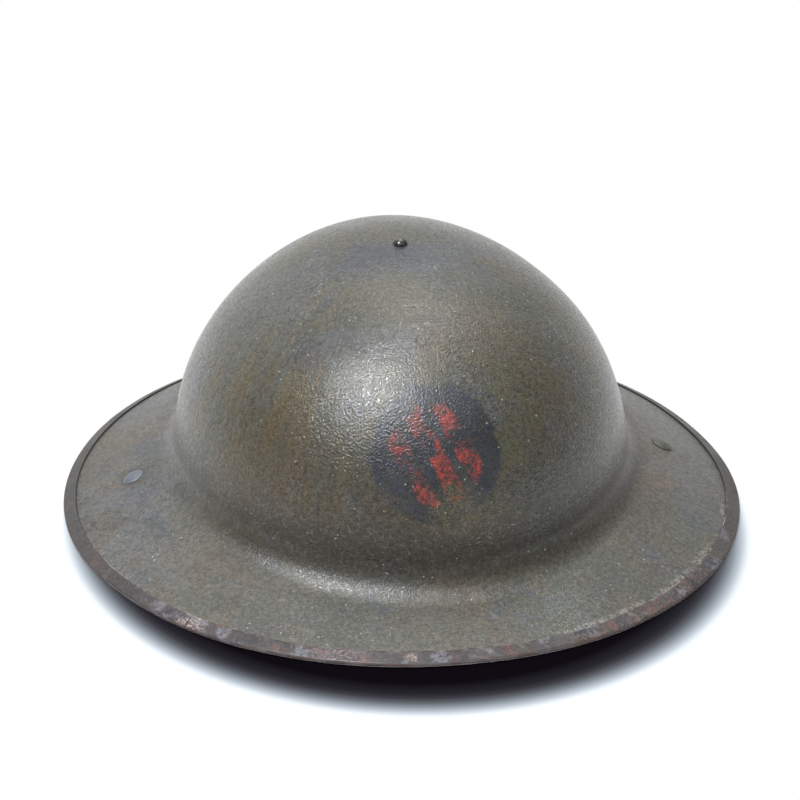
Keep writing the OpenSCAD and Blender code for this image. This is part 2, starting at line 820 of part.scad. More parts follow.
shell();
rim_band();
crown_rivet();
crown_leather_washer();
crown_steel_washer();
crown_pad();
liner_strap_fore_aft();
liner_strap_across();
hoop_rivets();
liner_hoop();
buffer_clips();
headband();
liner_net();
liner_lace();
bail_bracket(-1);  // bail_bracket_left
bail_bracket(1);  // bail_bracket_right
bracket_rivet(-1);  // bracket_rivet_left
bracket_rivet(1);  // bracket_rivet_right
bail(-1);  // bail_left
bail(1);  // bail_right
chin_strap_long();
chin_strap_short();
long_strap_rivets();
short_strap_rivets();
buckle_frame();
buckle_roller();
for (i = [0:tube_count - 1])
    buffer_tube(i);
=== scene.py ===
"""Looks of a wide-brimmed pressed steel helmet with its liner and chin strap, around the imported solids."""

import json
from math import asin, atan, atan2, cos, exp, hypot, pi, radians, sin, sqrt, tan, tau

import bmesh
import bpy
import numpy as np
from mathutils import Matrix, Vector


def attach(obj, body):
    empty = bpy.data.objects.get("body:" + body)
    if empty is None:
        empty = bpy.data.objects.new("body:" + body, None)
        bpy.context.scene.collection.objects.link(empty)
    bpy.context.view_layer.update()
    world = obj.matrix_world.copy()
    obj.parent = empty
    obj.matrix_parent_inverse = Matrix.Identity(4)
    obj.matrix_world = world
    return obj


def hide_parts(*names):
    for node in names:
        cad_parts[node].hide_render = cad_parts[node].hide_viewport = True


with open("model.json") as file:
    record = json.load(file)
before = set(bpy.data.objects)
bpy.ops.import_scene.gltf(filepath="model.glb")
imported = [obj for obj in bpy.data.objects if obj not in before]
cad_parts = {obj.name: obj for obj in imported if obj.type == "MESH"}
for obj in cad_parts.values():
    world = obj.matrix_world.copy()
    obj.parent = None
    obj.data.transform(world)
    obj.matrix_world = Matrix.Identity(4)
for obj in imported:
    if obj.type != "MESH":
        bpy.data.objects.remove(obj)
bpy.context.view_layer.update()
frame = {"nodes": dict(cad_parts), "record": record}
scene = bpy.context.scene

# Sizes in millimetres, the same as in the part's source
HELMET_W, HELMET_L, CROWN_H = 292.0, 313.5, 117.5
BOWL_W, BOWL_L, BASE_Z, WALL_R = 195.4, 226.2, 24.0, 90.0
FILLET_R, FILLET_Z, STEEL_T = 14.0, 32.0, 1.0
STRIP_T, STRIP_W, STRIP_UNDER_W, STRIP_GAP = 0.6, 6.8, 6.0, 0.05
JOINT_AT, JOINT_GAP = radians(225), 0.4
WASHER_D, WASHER_HOLE_D, WASHER_T = 22.0, 4.2, 1.6
PAD_D, PAD_HOLE_D, PAD_T = 64.0, 18.0, 5.0
TUBE_D, TUBE_BORE, TUBE_LOW, TUBE_HIGH, TUBES = 13.0, 5.0, 27.0, 51.0, 12
HOOP_T, HOOP_INSET, CLIP_T = 0.5, 2.0, 0.5
BAND_LOW, BAND_HIGH, BAND_T = 22.0, 56.0, 2.0
NET_DROP, NET_LAP, LACE_D = 23.5, 4.0, 2.4
LINER_STRAP_W, LINER_STRAP_T = 25.0, 1.5
WIRE_D, REACH, BRACKET_T, BAIL_L, RIVET_PLACE = 3.0, 9.0, 1.0, 16.0, 0.375
STRAP_W, STRAP_T, LONG_L, SHORT_L, LAY = 16.0, 2.0, 185.0, 75.0, radians(8)
FOLD_L, FOLD_TAPER, FOLD_TAIL, RIVET_HEAD_T = 8.0, 8.0, 13.0, 0.8
BUCKLE_WIRE_D = 2.6
SIDE_GAP, SEAT_GAP, RUN_GAP, FOLD_GAP = 0.3, 0.05, 0.06, 0.35

# In front, the crease between bowl and brim is rounder and lies lower than in the solids
FRONT_FILLET_R, FRONT_FILLET_DROP = 16.0, 7.2

# What is made finer than the solids
SEGMENTS, STRIP_ROWS = 288, 721
NET_STRANDS, TWINE_R, NET_TOP, NET_SLANT = 38, 0.55, radians(78.5), 1.06
KNOT_SIZE, DRAWING_CORD_R = (1.15, 1.15, 0.9), 0.9
LACE_TURNS, PLY_R, PLY_OFF = 96, 0.62, 0.56
LACE_TUCKS, TUCK_R, TUCK_DROP, TUCK_LEAN = 76, 0.42, 5.4, 0.045
STITCH_ROWS, STITCH_R, STITCH_SHARE = ((BAND_LOW + 3.2, 118), (BAND_HIGH - 2.6, 112)), 0.38, 0.66
BAND_BOW, STRAP_CREASE, TUBE_WAIST, TUBE_WAIST_REACH = 0.7, 0.14, 0.12, 7.0
DENT_SEED, SCATTERED_DENTS, STRIP_SEED, PAD_SEED = 1916, 34, 7, 3

FOLD_R = STEEL_T / 2 + STRIP_GAP + STRIP_T
RIVET_X = (BOWL_W + (HELMET_W - BOWL_W) * RIVET_PLACE) / 2


# Sections of the helmet

def ray(a):
    return np.array([cos(a), sin(a)])


class Section:
    """One upright cut through the helmet, in distances from its middle and heights."""

    def __init__(self, bowl_half, rim_half, turn_z, turn_r):
        rise = CROWN_H - BASE_Z
        self.turn_r = turn_r
        self.wall_x = bowl_half - WALL_R
        self.crown_r = (self.wall_x**2 + rise**2 - WALL_R**2) / (2 * (rise - WALL_R))
        self.crown_z = CROWN_H - self.crown_r
        self.join = atan2(BASE_Z - self.crown_z, self.wall_x)
        self.lift = asin((turn_z - BASE_Z) / WALL_R)
        self.fillet = np.array([self.wall_x, BASE_Z]) + (WALL_R + turn_r) * ray(self.lift)
        self.edge = np.array([rim_half - FOLD_R, FOLD_R])
        gap = self.edge - self.fillet
        self.slope = -atan2(gap[1], gap[0]) - asin((turn_r + STEEL_T / 2) / hypot(*gap))
        self.out, self.up = ray(-self.slope), ray(pi / 2 - self.slope)

    def bowl(self, a, depth):
        """Point at a depth under the bowl's outer skin, at the angle a above the level."""
        if a > self.join:
            return np.array([0, self.crown_z]) + (self.crown_r - depth) * ray(a)
        return np.array([self.wall_x, BASE_Z]) + (WALL_R - depth) * ray(a)

    def skin(self):
        """Outer skin from the crown to the brim's edge, with its upward directions."""
        crown = np.linspace(pi / 2 - 0.012, self.join, 40)[:-1]
        bowl = np.r_[crown, np.linspace(self.join, self.lift, 44)[:-1]]
        turn = np.linspace(pi + self.lift, 1.5 * pi - self.slope, 22)
        points = [self.bowl(a, 0) for a in bowl] + [self.fillet + self.turn_r * ray(a) for a in turn]
        start, end = points[-1], self.edge + STEEL_T / 2 * self.up
        brim = [start + (end - start) * k for k in np.linspace(0, 1, 22)[1:]]
        ups = [ray(a) for a in bowl] + [-ray(a) for a in turn] + [self.up for _ in brim]
        return np.array(points + brim), np.array(ups)

    def wall_half(self, z):
        return self.wall_x + sqrt((WALL_R - TUBE_DEPTH) ** 2 - (z - BASE_Z) ** 2)

    def lean(self):
        return atan((self.wall_half(TUBE_LOW) - self.wall_half(TUBE_HIGH)) / (TUBE_HIGH - TUBE_LOW))

    def liner(self, z, depth):
        """Point of a liner's layer at a height and a depth under the outer skin."""
        lean = self.lean()
        away = self.wall_half(TUBE_LOW) - (z - TUBE_LOW) * tan(lean) - (depth - TUBE_DEPTH) / cos(lean)
        return np.array([away, z])


TUBE_DEPTH = STEEL_T + SIDE_GAP + TUBE_D / 2
HOOP_DEPTH = TUBE_DEPTH + TUBE_D / 2 + SIDE_GAP
CLIP_DEPTH = HOOP_DEPTH + HOOP_T + SIDE_GAP
BAND_DEPTH = CLIP_DEPTH + CLIP_T + SIDE_GAP
NET_DEPTH = BAND_DEPTH + BAND_T + SIDE_GAP
STRAP_DEPTH = HOOP_DEPTH - SIDE_GAP - LINER_STRAP_T

side = Section(BOWL_W / 2, HELMET_W / 2, FILLET_Z, FILLET_R)
front = Section(BOWL_L / 2, HELMET_L / 2, FILLET_Z - FRONT_FILLET_DROP, FRONT_FILLET_R)
back = Section(BOWL_L / 2, HELMET_L / 2, FILLET_Z, FILLET_R)


def all_round(count=SEGMENTS):
    return np.arange(count) * tau / count


def round_oval(lines, angles):
    """Carries the line of a section, in its side, front and perhaps back forms, round the oval."""
    c, s = np.cos(angles)[:, None], np.sin(angles)[:, None]
    a, b, *back_line = (np.asarray(line, float) for line in lines)
    for other in back_line:
        b = np.where(s[..., None] > 0, other, b[None])
    return np.stack([a[:, 0] * c, b[..., 0] * s, a[:, 1] * c**2 + b[..., 1] * s**2], -1)


def round_liner(z, depth, *angles):
    """Points round the liner at a height and a depth under the outer skin."""
    return round_oval([[s.liner(z, depth)] for s in (side, front)], np.array(angles))[:, 0]


def round_axis(line, count):
    """Carries a line of radius and height round an upright axis."""
    line, a = np.asarray(line, float), all_round(count)[:, None]
    return np.stack([line[:, 0] * np.cos(a), line[:, 0] * np.sin(a), line[:, 1] + 0 * a], -1)


# Making pieces

def quads(rows, columns, close_rows=False, close_columns=False):
    """Faces of a net of rows and columns of points."""
    faces = []
    for i in range(rows if close_rows else rows - 1):
        for k in range(columns if close_columns else columns - 1):
            j, m = (i + 1) % rows, (k + 1) % columns
            faces.append((i * columns + k, i * columns + m, j * columns + m, j * columns + k))
    return faces


def bar_faces(rows, sides):
    """Faces of a bar of rings of points, with its two ends."""
    last = (rows - 1) * sides
    return quads(rows, sides, False, True) + [tuple(range(sides)), tuple(last + k for k in range(sides))]


def link(name, data):
    """Puts a new object into the scene."""
    made = bpy.data.objects.new(name, data)
    scene.collection.objects.link(made)
    return made


def shape(name, points, crease, faces=None):
    """A smooth object from points in millimetres. Without faces, they are rings that close to a loop."""
    mesh = bpy.data.meshes.new(name)
    faces = faces or quads(*points.shape[:2], True, True)
    mesh.from_pydata((np.asarray(points, float).reshape(-1, 3) / 1000).tolist(), [], faces)
    bm = bmesh.new()
    bm.from_mesh(mesh)
    bmesh.ops.recalc_face_normals(bm, faces=bm.faces)
    bm.to_mesh(mesh)
    bm.free()
    mesh.shade_smooth()
    mesh.set_sharp_from_angle(angle=radians(crease))
    return link(name, mesh)


def fit(piece, finish, slot, *nodes, body="helmet"):
    """Gives a piece its finish and its body, in place of its solids."""
    piece.data.materials.append(finish)
    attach(piece, body)
    if nodes:
        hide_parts(*nodes)
    return piece


class Bundle:
    """Several small forms gathered in one mesh."""

    def __init__(self):
        self.points, self.faces, self.count = [], [], 0

    def add(self, points, faces):
        points = np.asarray(points, float).reshape(-1, 3)
        self.faces += [tuple(self.count + i for i in f) for f in faces]
        self.points.append(points)
        self.count += len(points)

    def cord(self, path, radius, sides=6, closed=False):
        """A round cord along a path. The ends of an open cord are rounded in."""
        path = np.asarray(path, float)
        ahead = np.roll(path, -1, 0) - np.roll(path, 1, 0)
        if not closed:
            ahead[0], ahead[-1] = path[1] - path[0], path[-1] - path[-2]
        ahead /= np.linalg.norm(ahead, axis=1)[:, None]
        across = np.zeros_like(path)
        across[0] = np.cross(ahead[0], [0.31, 0.17, 0.93])
        for i in range(len(path)):
            if i:
                across[i] = across[i - 1] - ahead[i] * (across[i - 1] @ ahead[i])
            across[i] /= np.linalg.norm(across[i])
        third = np.cross(ahead, across)
        a = all_round(sides)[:, None]
        size = np.full(len(path), float(radius))
        if not closed:
            size[0] = size[-1] = 0.45 * radius
        outward = across[:, None] * np.cos(a) + third[:, None] * np.sin(a)
        rings = path[:, None] + size[:, None, None] * outward
        self.add(rings, quads(len(path), sides, True, True) if closed else bar_faces(len(path), sides))

    def made(self, name):
        return shape(name, np.concatenate(self.points), 60, self.faces)


def rounded_bar(low, high, radius, steps=4):
    """Rounded outline of a flat bar between two corners."""
    (x0, y0), (x1, y1) = low, high
    line = []
    for cx, cy, start in ((x1 - radius, y0 + radius, -90), (x1 - radius, y1 - radius, 0),
                          (x0 + radius, y1 - radius, 90), (x0 + radius, y0 + radius, 180)):
        line += [(cx, cy) + radius * ray(a) for a in np.radians(np.linspace(start, start + 90, steps))]
    return np.array(line)


def ribbon(path, width, thick, narrowing=1.0, groove=0.0):
    """A flat strap along a path of distances and heights: its points, with Y across it, and its faces."""
    ahead = np.gradient(path, axis=0)
    ahead /= np.linalg.norm(ahead, axis=1)[:, None]
    x, z, up_x, up_z = path[:, :1], path[:, 1:], -ahead[:, 1:], ahead[:, :1]
    half, h = width / 2, thick / 2
    bar = [tuple(p) for p in rounded_bar((-half, -h), (half, h), 0.42 * thick)]
    if groove:
        # a creased line near each edge of the upper face, and points across the lower one
        upper = [(half - 1.1, h), (half - 1.5, h - groove), (half - 1.9, h)]
        bar[8:8] = upper + [(2.0, h), (-2.0, h)] + [(-y, z_up) for y, z_up in reversed(upper)]
    bar = np.array(bar)
    scale = np.broadcast_to(narrowing, len(path))[:, None]
    points = np.stack([x + up_x * bar[:, 1], scale * bar[:, 0], z + up_z * bar[:, 1]], -1)
    return points, bar_faces(len(path), len(bar))


# Shader nodes, written as sums

class Wire:
    """A socket of a finish's nodes. Sums with it add Math nodes."""

    def __init__(self, finish, socket):
        self.finish, self.socket = finish, socket

    def sum(self, operation, *values):
        return self.finish.put("Math", dict(enumerate(values)), operation=operation)

    __add__ = __radd__ = lambda self, other: self.sum("ADD", self, other)
    __sub__ = lambda self, other: self.sum("SUBTRACT", self, other)
    __rsub__ = lambda self, other: self.sum("SUBTRACT", other, self)
    __mul__ = __rmul__ = lambda self, other: self.sum("MULTIPLY", self, other)
    __pow__ = lambda self, other: self.sum("POWER", self, other)

    def above(self, low, high):
        """0 under the low value, 1 over the high one."""
        return self.finish.put("MapRange", {0: self, 1: low, 2: high}, interpolation_type="SMOOTHSTEP")

    def below(self, low, high):
        return 1 - self.above(low, high)

    def either(self, *others):
        """The greatest of the values."""
        most = self
        for other in others:
            most = most.sum("MAXIMUM", most, other)
        return most


def tint(colour):
    """A colour for a socket, from thousandths of full red, green and blue light."""
    return (*(c / 1000 for c in colour), 1) if isinstance(colour, tuple) else colour


class Nodes:
    """A tree of pattern nodes over an object's own place, with x, y and z as its parts."""

    x, y, z = (property(lambda self, way=way: self.put("SeparateXYZ", {0: self.here}, way)) for way in "XYZ")

    def __init__(self, tree, place="Object"):
        self.tree = tree
        tree.nodes.clear()
        self.here = self.put("TexCoord", out=place)

    def put(self, kind, sockets=(), out=0, **settings):
        """Adds a node, with its settings and the values or links of its sockets."""
        node = self.tree.nodes.new("ShaderNode" + kind)
        for name, value in settings.items():
            setattr(node, name, value)
        for name, value in dict(sockets).items():
            if isinstance(value, Wire):
                self.tree.links.new(value.socket, node.inputs[name])
            else:
                node.inputs[name].default_value = value
        return Wire(self, node.outputs[out] if len(node.outputs) else None)

    def vector(self, operation, sockets, out=0):
        return self.put("VectorMath", sockets, out, operation=operation)

    def stretched(self, *shares):
        return self.vector("MULTIPLY", {0: self.here, 1: shares})

    def noise(self, scale, detail=3.0, rough=0.55, at=None, twist=0.0, out=0):
        return self.put("TexNoise", {"Vector": at or self.here, "Scale": scale, "Detail": detail,
                                     "Roughness": rough, "Distortion": twist}, out)

    def cells(self, scale, feature="F1", at=None):
        sockets = {"Vector": at or self.here, "Scale": scale}
        return self.put("TexVoronoi", sockets, "Distance", feature=feature)

    def cracks(self, scale, width, at=None):
        """Lines between cells, with this share of a cell's width."""
        return self.cells(scale, "DISTANCE_TO_EDGE", at).below(0.0, width)

    def wave(self, way, scale, twist, fineness):
        sockets = {"Vector": self.here, "Scale": scale, "Distortion": twist, "Detail Scale": fineness}
        return self.put("TexWave", sockets, bands_direction=way)

    def mix(self, share, a, b):
        return self.put("Mix", {0: share, 6: tint(a), 7: tint(b)}, 2, data_type="RGBA")

    def ramp(self, value, stops):
        """Colour between stops."""
        wire = self.put("ValToRGB", {0: value})
        row = wire.socket.node.color_ramp
        for place, colour in stops[2:]:
            row.elements.new(place)
        for element, (place, colour) in zip(row.elements, stops):
            element.position, element.color = place, tint(colour)
        return wire

    def shaded(self, colour, value):
        """The colour made darker or lighter by a value about 1."""
        return self.vector("SCALE", {0: colour, "Scale": value})

    def far_out(self):
        """1 at the brim's outer edge and 0 at the helmet's middle."""
        x, y = self.x * (2000 / HELMET_W), self.y * (2000 / HELMET_L)
        return (x * x + y * y) ** 0.5

    def down_the_bowl(self, width, length):
        """Place for marks that run down the bowl, this wide and long in millimetres half way up it."""
        x, y = self.x, self.y
        turn, out = x.sum("ARCTAN2", x, 0 - y) * (90 / width), (x * x + y * y) ** 0.5 * 30
        return self.put("CombineXYZ", {0: turn, 1: out, 2: self.z * (1000 / length)})

    def away(self, centre, unit, at=None):
        """Distance from a centre in metres, in units of so many millimetres."""
        return self.vector("DISTANCE", {0: at or self.here, 1: centre}, "Value") * (1000 / unit)

    def near(self, place, reach, soft=0.5, ragged=None, squeeze=(1, 1, 1)):
        """1 near a place in millimetres and 0 beyond its reach. A ragged value breaks its edge up."""
        distance = self.away([c * q / 1000 for c, q in zip(place, squeeze)], reach, self.stretched(*squeeze))
        if ragged is not None:
            distance = distance + (ragged - 0.5) * 1.6
        return distance.below(1 - soft, 1 + soft * 0.3)

    def rays(self, *kinds):
        """1 for rays of one of these kinds."""
        found = [self.put("LightPath", out=f"Is {kind} Ray") for kind in kinds]
        return found[0].either(*found[1:])

    def bumps(self, height, size, then=None):
        """A bump whose height of 1 is this many millimetres, over another one."""
        sockets = {"Strength": 1.0, "Distance": size / 1000, "Height": height}
        if then:
            sockets["Normal"] = then
        return self.put("Bump", sockets)


class Finish(Nodes):
    """A material, built up coat by coat on a first colour."""

    def __init__(self, name, colour=None):
        self.material = bpy.data.materials.new(name)
        self.material.use_nodes = True
        super().__init__(self.material.node_tree)
        self.colour = colour

    def coat(self, share, colour):
        """Covers a share of what is there."""
        self.colour = self.mix(share, self.colour, colour)

    def shade(self, value):
        self.colour = self.shaded(self.colour, value)

    def done(self, rough, normal, metal=0.0, **fixed):
        """Joins the values to the surface, with the sockets that stay the same all over."""
        sockets = {"Base Color": tint(self.colour), "Roughness": rough, "Metallic": metal, "Normal": normal}
        sockets.update({name.replace("_", " "): value for name, value in fixed.items()})
        self.put("OutputMaterial", {"Surface": self.put("BsdfPrincipled", sockets, "BSDF")})
        return self.material


# Finishes

# Stains and painted reflections on the shell: middle in millimetres, reach, colour, share and, where it is
# drawn out, its squeeze
STAINS_AND_SHEEN = (
    ((2, -14, 117), 34, (54, 58, 66), 0.9, (1, 1.6, 1)),
    ((-12, -8, 117), 23, (30, 34, 44), 0.85, (1, 1.7, 1)),
    ((30, 2, 114), 18, (50, 56, 66), 0.6, (0.7, 1.4, 1)),
    ((-44, -55, 95), 13, (40, 42, 52), 0.6),
    ((33, -18, 111), 9, (40, 40, 42), 0.5),
    ((-48, -8, 104), 12, (46, 48, 56), 0.5),
    ((-10, -38, 111), 17, (80, 72, 44), 0.5, (0.7, 1, 1)),
    ((-71, -69, 50), 28, (60, 43, 20), 0.6, (1, 1, 0.45)),
    ((-52, -88, 42), 20, (70, 48, 24), 0.6, (1, 1, 0.5)),
    ((-14, -106, 42), 24, (60, 44, 22), 0.6, (0.6, 1, 1)),
    ((24, -62, 103), 24, (82, 64, 38), 0.5, (0.6, 1, 1)),
    ((52, -72, 78), 26, (70, 52, 28), 0.5, (1, 1, 0.6)),
    ((42, -100, 45), 16, (34, 36, 40), 0.5),
    ((93, -88, 13), 24, (60, 48, 36), 0.5),
    ((66, -126, 9), 36, (34, 34, 24), 0.85),
    ((64, -82, 44), 26, (38, 38, 30), 0.6),
    ((58, -132, 7), 17, (32, 32, 25), 0.6),
    # painted reflection: a lighter patch on the upper left of the bowl, where it catches the bright room
    ((-56, -10, 99), 32, (82, 82, 74), 0.6),
    ((-5, -138, 9), 36, (80, 74, 56), 0.55),
    ((-70, -124, 8), 34, (38, 38, 31), 0.8),
    # painted reflection: lighter patches on the left and right fillets, where they catch the bright room
    ((-120, -34, 14), 46, (94, 94, 92), 0.8, (1, 0.6, 1)),
    ((120, -20, 15), 38, (80, 80, 75), 0.8, (1, 0.6, 1)),
    ((-95, -62, 22), 24, (82, 72, 44), 0.5),
    ((-60, -105, 16), 26, (78, 72, 46), 0.4),
    ((-112, -10, 15), 16, (56, 60, 68), 0.5),
)
# Mottling of the brim: scale, value that it starts at, colour and share
MOTTLING = (
    (31, 0.52, (74, 54, 32), 0.55),
    (43, 0.54, (44, 52, 62), 0.6),
    (67, 0.56, (36, 34, 28), 0.6),
    (58, 0.57, (100, 94, 66), 0.5),
)
# The painted round on the front: its middle in millimetres, its outer edge, and its bars
MARK_X, MARK_Z, MARK_EDGE = 0.5, 65.5, (25.5, 27.8)
BARS, BAR_LEAN, BAR_HALF, BARS_EDGE = (-12.5, 0.5, 13), 0.55, (3.4, 4.8), (18.5, 20.5)


def shell_paint():
    """Field paint mixed with sand, rubbed and stained by long use, with some painted shade and painted
    reflection.
    """
    f = Finish("worn_sanded_paint", (48, 47, 32))
    broken = f.noise(95, 5, 0.62)
    cloud = f.noise(13, 5, 0.6)
    patch = f.noise(38, 5, 0.62, twist=0.4)
    sand = f.noise(560, 5, 0.85).above(0.36, 0.64)
    dust = f.noise(1700, 3, 0.8).above(0.36, 0.64)
    on_bowl = f.z.above(0.022, 0.034)
    shell_stains_and_sheen(f, broken, cloud, patch, on_bowl)
    rusty = f.near((108, -37, 17), 9, 0.9, broken).either(f.near((98, -48, 18), 8, 0.9, broken) * 0.6)
    f.coat(rusty * sand.above(0.3, 0.7) * 0.75, (135, 70, 40))
    flaked = f.near((49, -133, 8), 15, 0.9, broken).either(f.near((52, -124, 12), 16, 0.9, broken) * 0.7)
    f.coat(flaked * dust.above(0.45, 0.9) * 0.55, (200, 210, 125))
    # darker in the hollow at the foot of the bowl, towards the front
    height = f.z * 1000 + (cloud - 0.5) * 14
    foot = height.above(12, 21) * height.below(30, 50) * f.y.below(-0.085, -0.02)
    f.coat(foot * 0.7, (31, 25, 15))
    mark = round_mark(f, broken, sand, dust)
    # a dark ring of painted shade round the two rivet heads, and crusted paint along the rim strip
    for x, share in ((-RIVET_X, 0.6), (RIVET_X, 0.75)):
        f.coat(f.away((x / 1000, 0, 0.015), 1).below(5.2, 6.6) * share, (16, 17, 18))
    crust = f.far_out().above(0.940, 0.954) * broken.above(0.47, 0.54) * sand.above(0.3, 0.7)
    crust = crust * f.y.below(-0.05, -0.02) * (0.15 + 0.4 * f.x.above(0.03, 0.06))
    f.coat(crust, (260, 235, 200))
    scratch = scratches(f, cloud, patch)
    f.coat(scratch * 0.6, (22, 20, 20))
    f.coat(patch.above(0.54, 0.68) * sand.above(0.6, 0.9) * 0.22, (170, 170, 155))
    fleck = f.cells(360).below(0.07, 0.17) * f.noise(150, 3).above(0.53, 0.61)
    f.coat(fleck * 0.8, (420, 410, 360))
    pit = f.cells(110).below(0.03, 0.09) * f.noise(40, 2).above(0.53, 0.6)
    f.coat(pit * 0.8, (24, 18, 15))
    # coloured grains, and bright ones where the sand is rubbed bare
    grains = f.noise(330, 4, 0.8, out="Color")
    grains = f.vector("MULTIPLY_ADD", {0: grains, 1: (0.6, 0.6, 0.9), 2: (0.7, 0.7, 0.55)})
    f.colour = f.vector("MULTIPLY", {0: f.colour, 1: grains})
    f.shade(0.25 + 0.85 * sand + 0.65 * dust)
    bright = sand.above(0.55, 0.9) * dust.above(0.4, 0.8) * (1 - mark)
    f.coat(bright * 0.5, (210, 210, 205))
    low = f.z.below(0.018, 0.042)
    rough = 0.36 - 0.10 * sand - 0.10 * dust - 0.05 * patch.above(0.4, 0.7) + 0.08 * mark + 0.16 * low
    smooth = f.near((4, -10, 117), 30, 0.8, broken, (1, 1.6, 1))
    pimples = f.noise(1150, 1.0, 0.4) * 1.6
    height = sand * 0.25 * (1 - 0.5 * smooth) + pimples * (1 - 0.5 * low)
    height = height - pit * 1.2 + fleck * 0.5 - scratch * 0.6
    normal = f.bumps(height, 0.16, f.bumps(f.noise(46, 3, 0.5), 0.35))
    return f.done(rough, normal, 0.55 * bright, Specular_IOR_Level=0.75)


def shell_stains_and_sheen(f, broken, cloud, patch, on_bowl):
    """Clouds, streaks and stains of the shell's paint, under its sand, with patches of painted reflection."""
    f.coat(cloud.above(0.36, 0.66), (64, 64, 46))
    f.coat(patch.above(0.50, 0.68) * 0.75, (50, 57, 64))
    streak = f.noise(1.0, 4, 0.6, f.down_the_bowl(9, 60), 0.5)
    ochre = streak.above(0.49, 0.60) * (0.35 + 0.65 * f.near((-75, -70, 55), 62, 1.0, broken)) * on_bowl
    f.coat(ochre * 0.85, (98, 70, 22))
    brushed = f.noise(1.0, 3, 0.6, f.down_the_bowl(2.2, 34), 0.3)
    on_side = f.x.below(-0.075, -0.02) * on_bowl * f.z.below(0.095, 0.112)
    f.coat(brushed.above(0.50, 0.60) * on_side * 0.4, (88, 88, 78))
    f.coat(brushed.below(0.38, 0.46) * on_side * 0.4, (36, 36, 35))
    f.coat(f.noise(17, 4, 0.6, twist=0.6).above(0.50, 0.62) * (1 - on_bowl) * 0.6, (68, 58, 34))
    smear = f.noise(1.0, 5, 0.62, f.stretched(24, 60, 60), 0.5)
    f.coat(smear.above(0.53, 0.72) * 0.5, (40, 38, 34))
    # stains, and the patches of painted reflection in the table
    for place, reach, patch_colour, share, *squeeze in STAINS_AND_SHEEN:
        f.coat(f.near(place, reach, 0.8, broken, *squeeze) * share, patch_colour)
    brim = 1 - on_bowl
    for scale, start, patch_colour, share in MOTTLING:
        f.coat(f.noise(scale, 5, 0.65, twist=0.5).above(start, start + 0.07) * brim * share, patch_colour)


def scratches(f, cloud, patch):
    """Fine scratches across the bowl, and brushed ones down its left side."""
    drawn = f.noise(1.0, 2, 0.5, f.stretched(26, 190, 190), 0.6) - 0.5
    across = (drawn * drawn).below(0.000004, 0.00003) * patch.above(0.50, 0.58) * f.z.above(0.05, 0.08)
    drawn = f.noise(1.0, 2, 0.5, f.down_the_bowl(6, 50), 0.3) - 0.5
    down = (drawn * drawn).below(0.000003, 0.00003) * cloud.above(0.46, 0.56) * f.x.below(-0.05, -0.01)
    return across.either(down)


def round_mark(f, broken, sand, dust):
    """A plain painted round with three slanting bars, mostly worn away."""
    across, up = f.x * 1000 - MARK_X, f.z * 1000 - MARK_Z
    on_front = f.y.below(-0.03, -0.02)
    far = (across * across + up * up * 1.18) ** 0.5 + (f.noise(130, 5, 0.7) - 0.5) * 9
    disc = far.below(*MARK_EDGE) * on_front
    grain = sand * 0.55 + dust * 0.25 + broken * 0.2
    kept = grain.above(0.25, 0.55) * f.noise(85, 4, 0.65).above(0.30, 0.50)
    ground = f.mix(f.noise(60, 3).above(0.35, 0.7), (12, 15, 24), (26, 32, 42))
    f.coat(disc * (0.35 + 0.65 * kept), ground)
    slanting, bars = across + up * BAR_LEAN, []
    for middle in BARS:
        off = slanting - middle
        bars.append((off.sum("ABSOLUTE", off) + (f.noise(150, 3) - 0.5) * 4).below(*BAR_HALF))
    left = f.noise(95, 5, 0.7).above(0.42, 0.54) * (0.2 + 0.8 * grain.above(0.28, 0.58))
    red = f.mix(f.noise(220, 3).above(0.35, 0.65), (260, 36, 28), (120, 26, 26))
    f.coat(bars[0].either(*bars[1:]) * far.below(*BARS_EDGE) * left * on_front, red)
    bare = f.near((7, -110, 48), 13, 0.9, broken) * dust.above(0.35, 0.8)
    f.coat(bare * 0.75, (135, 112, 52))
    return disc * kept


def inner_paint():
    """Smooth dull paint inside the shell, with rust freckles."""
    f = Finish("inner_paint", (60, 58, 45))
    cloud = f.noise(18, 5, 0.6)
    freckle = f.cells(170).below(0.10, 0.22) * f.noise(30, 4).above(0.5, 0.62)
    f.coat(cloud, (90, 85, 62))
    f.coat(freckle * 0.8, (120, 55, 28))
    f.shade(0.8 + 0.4 * f.noise(700, 3))
    return f.done(0.6 - 0.15 * cloud, f.bumps(f.noise(420, 4) - freckle * 0.4, 0.06))


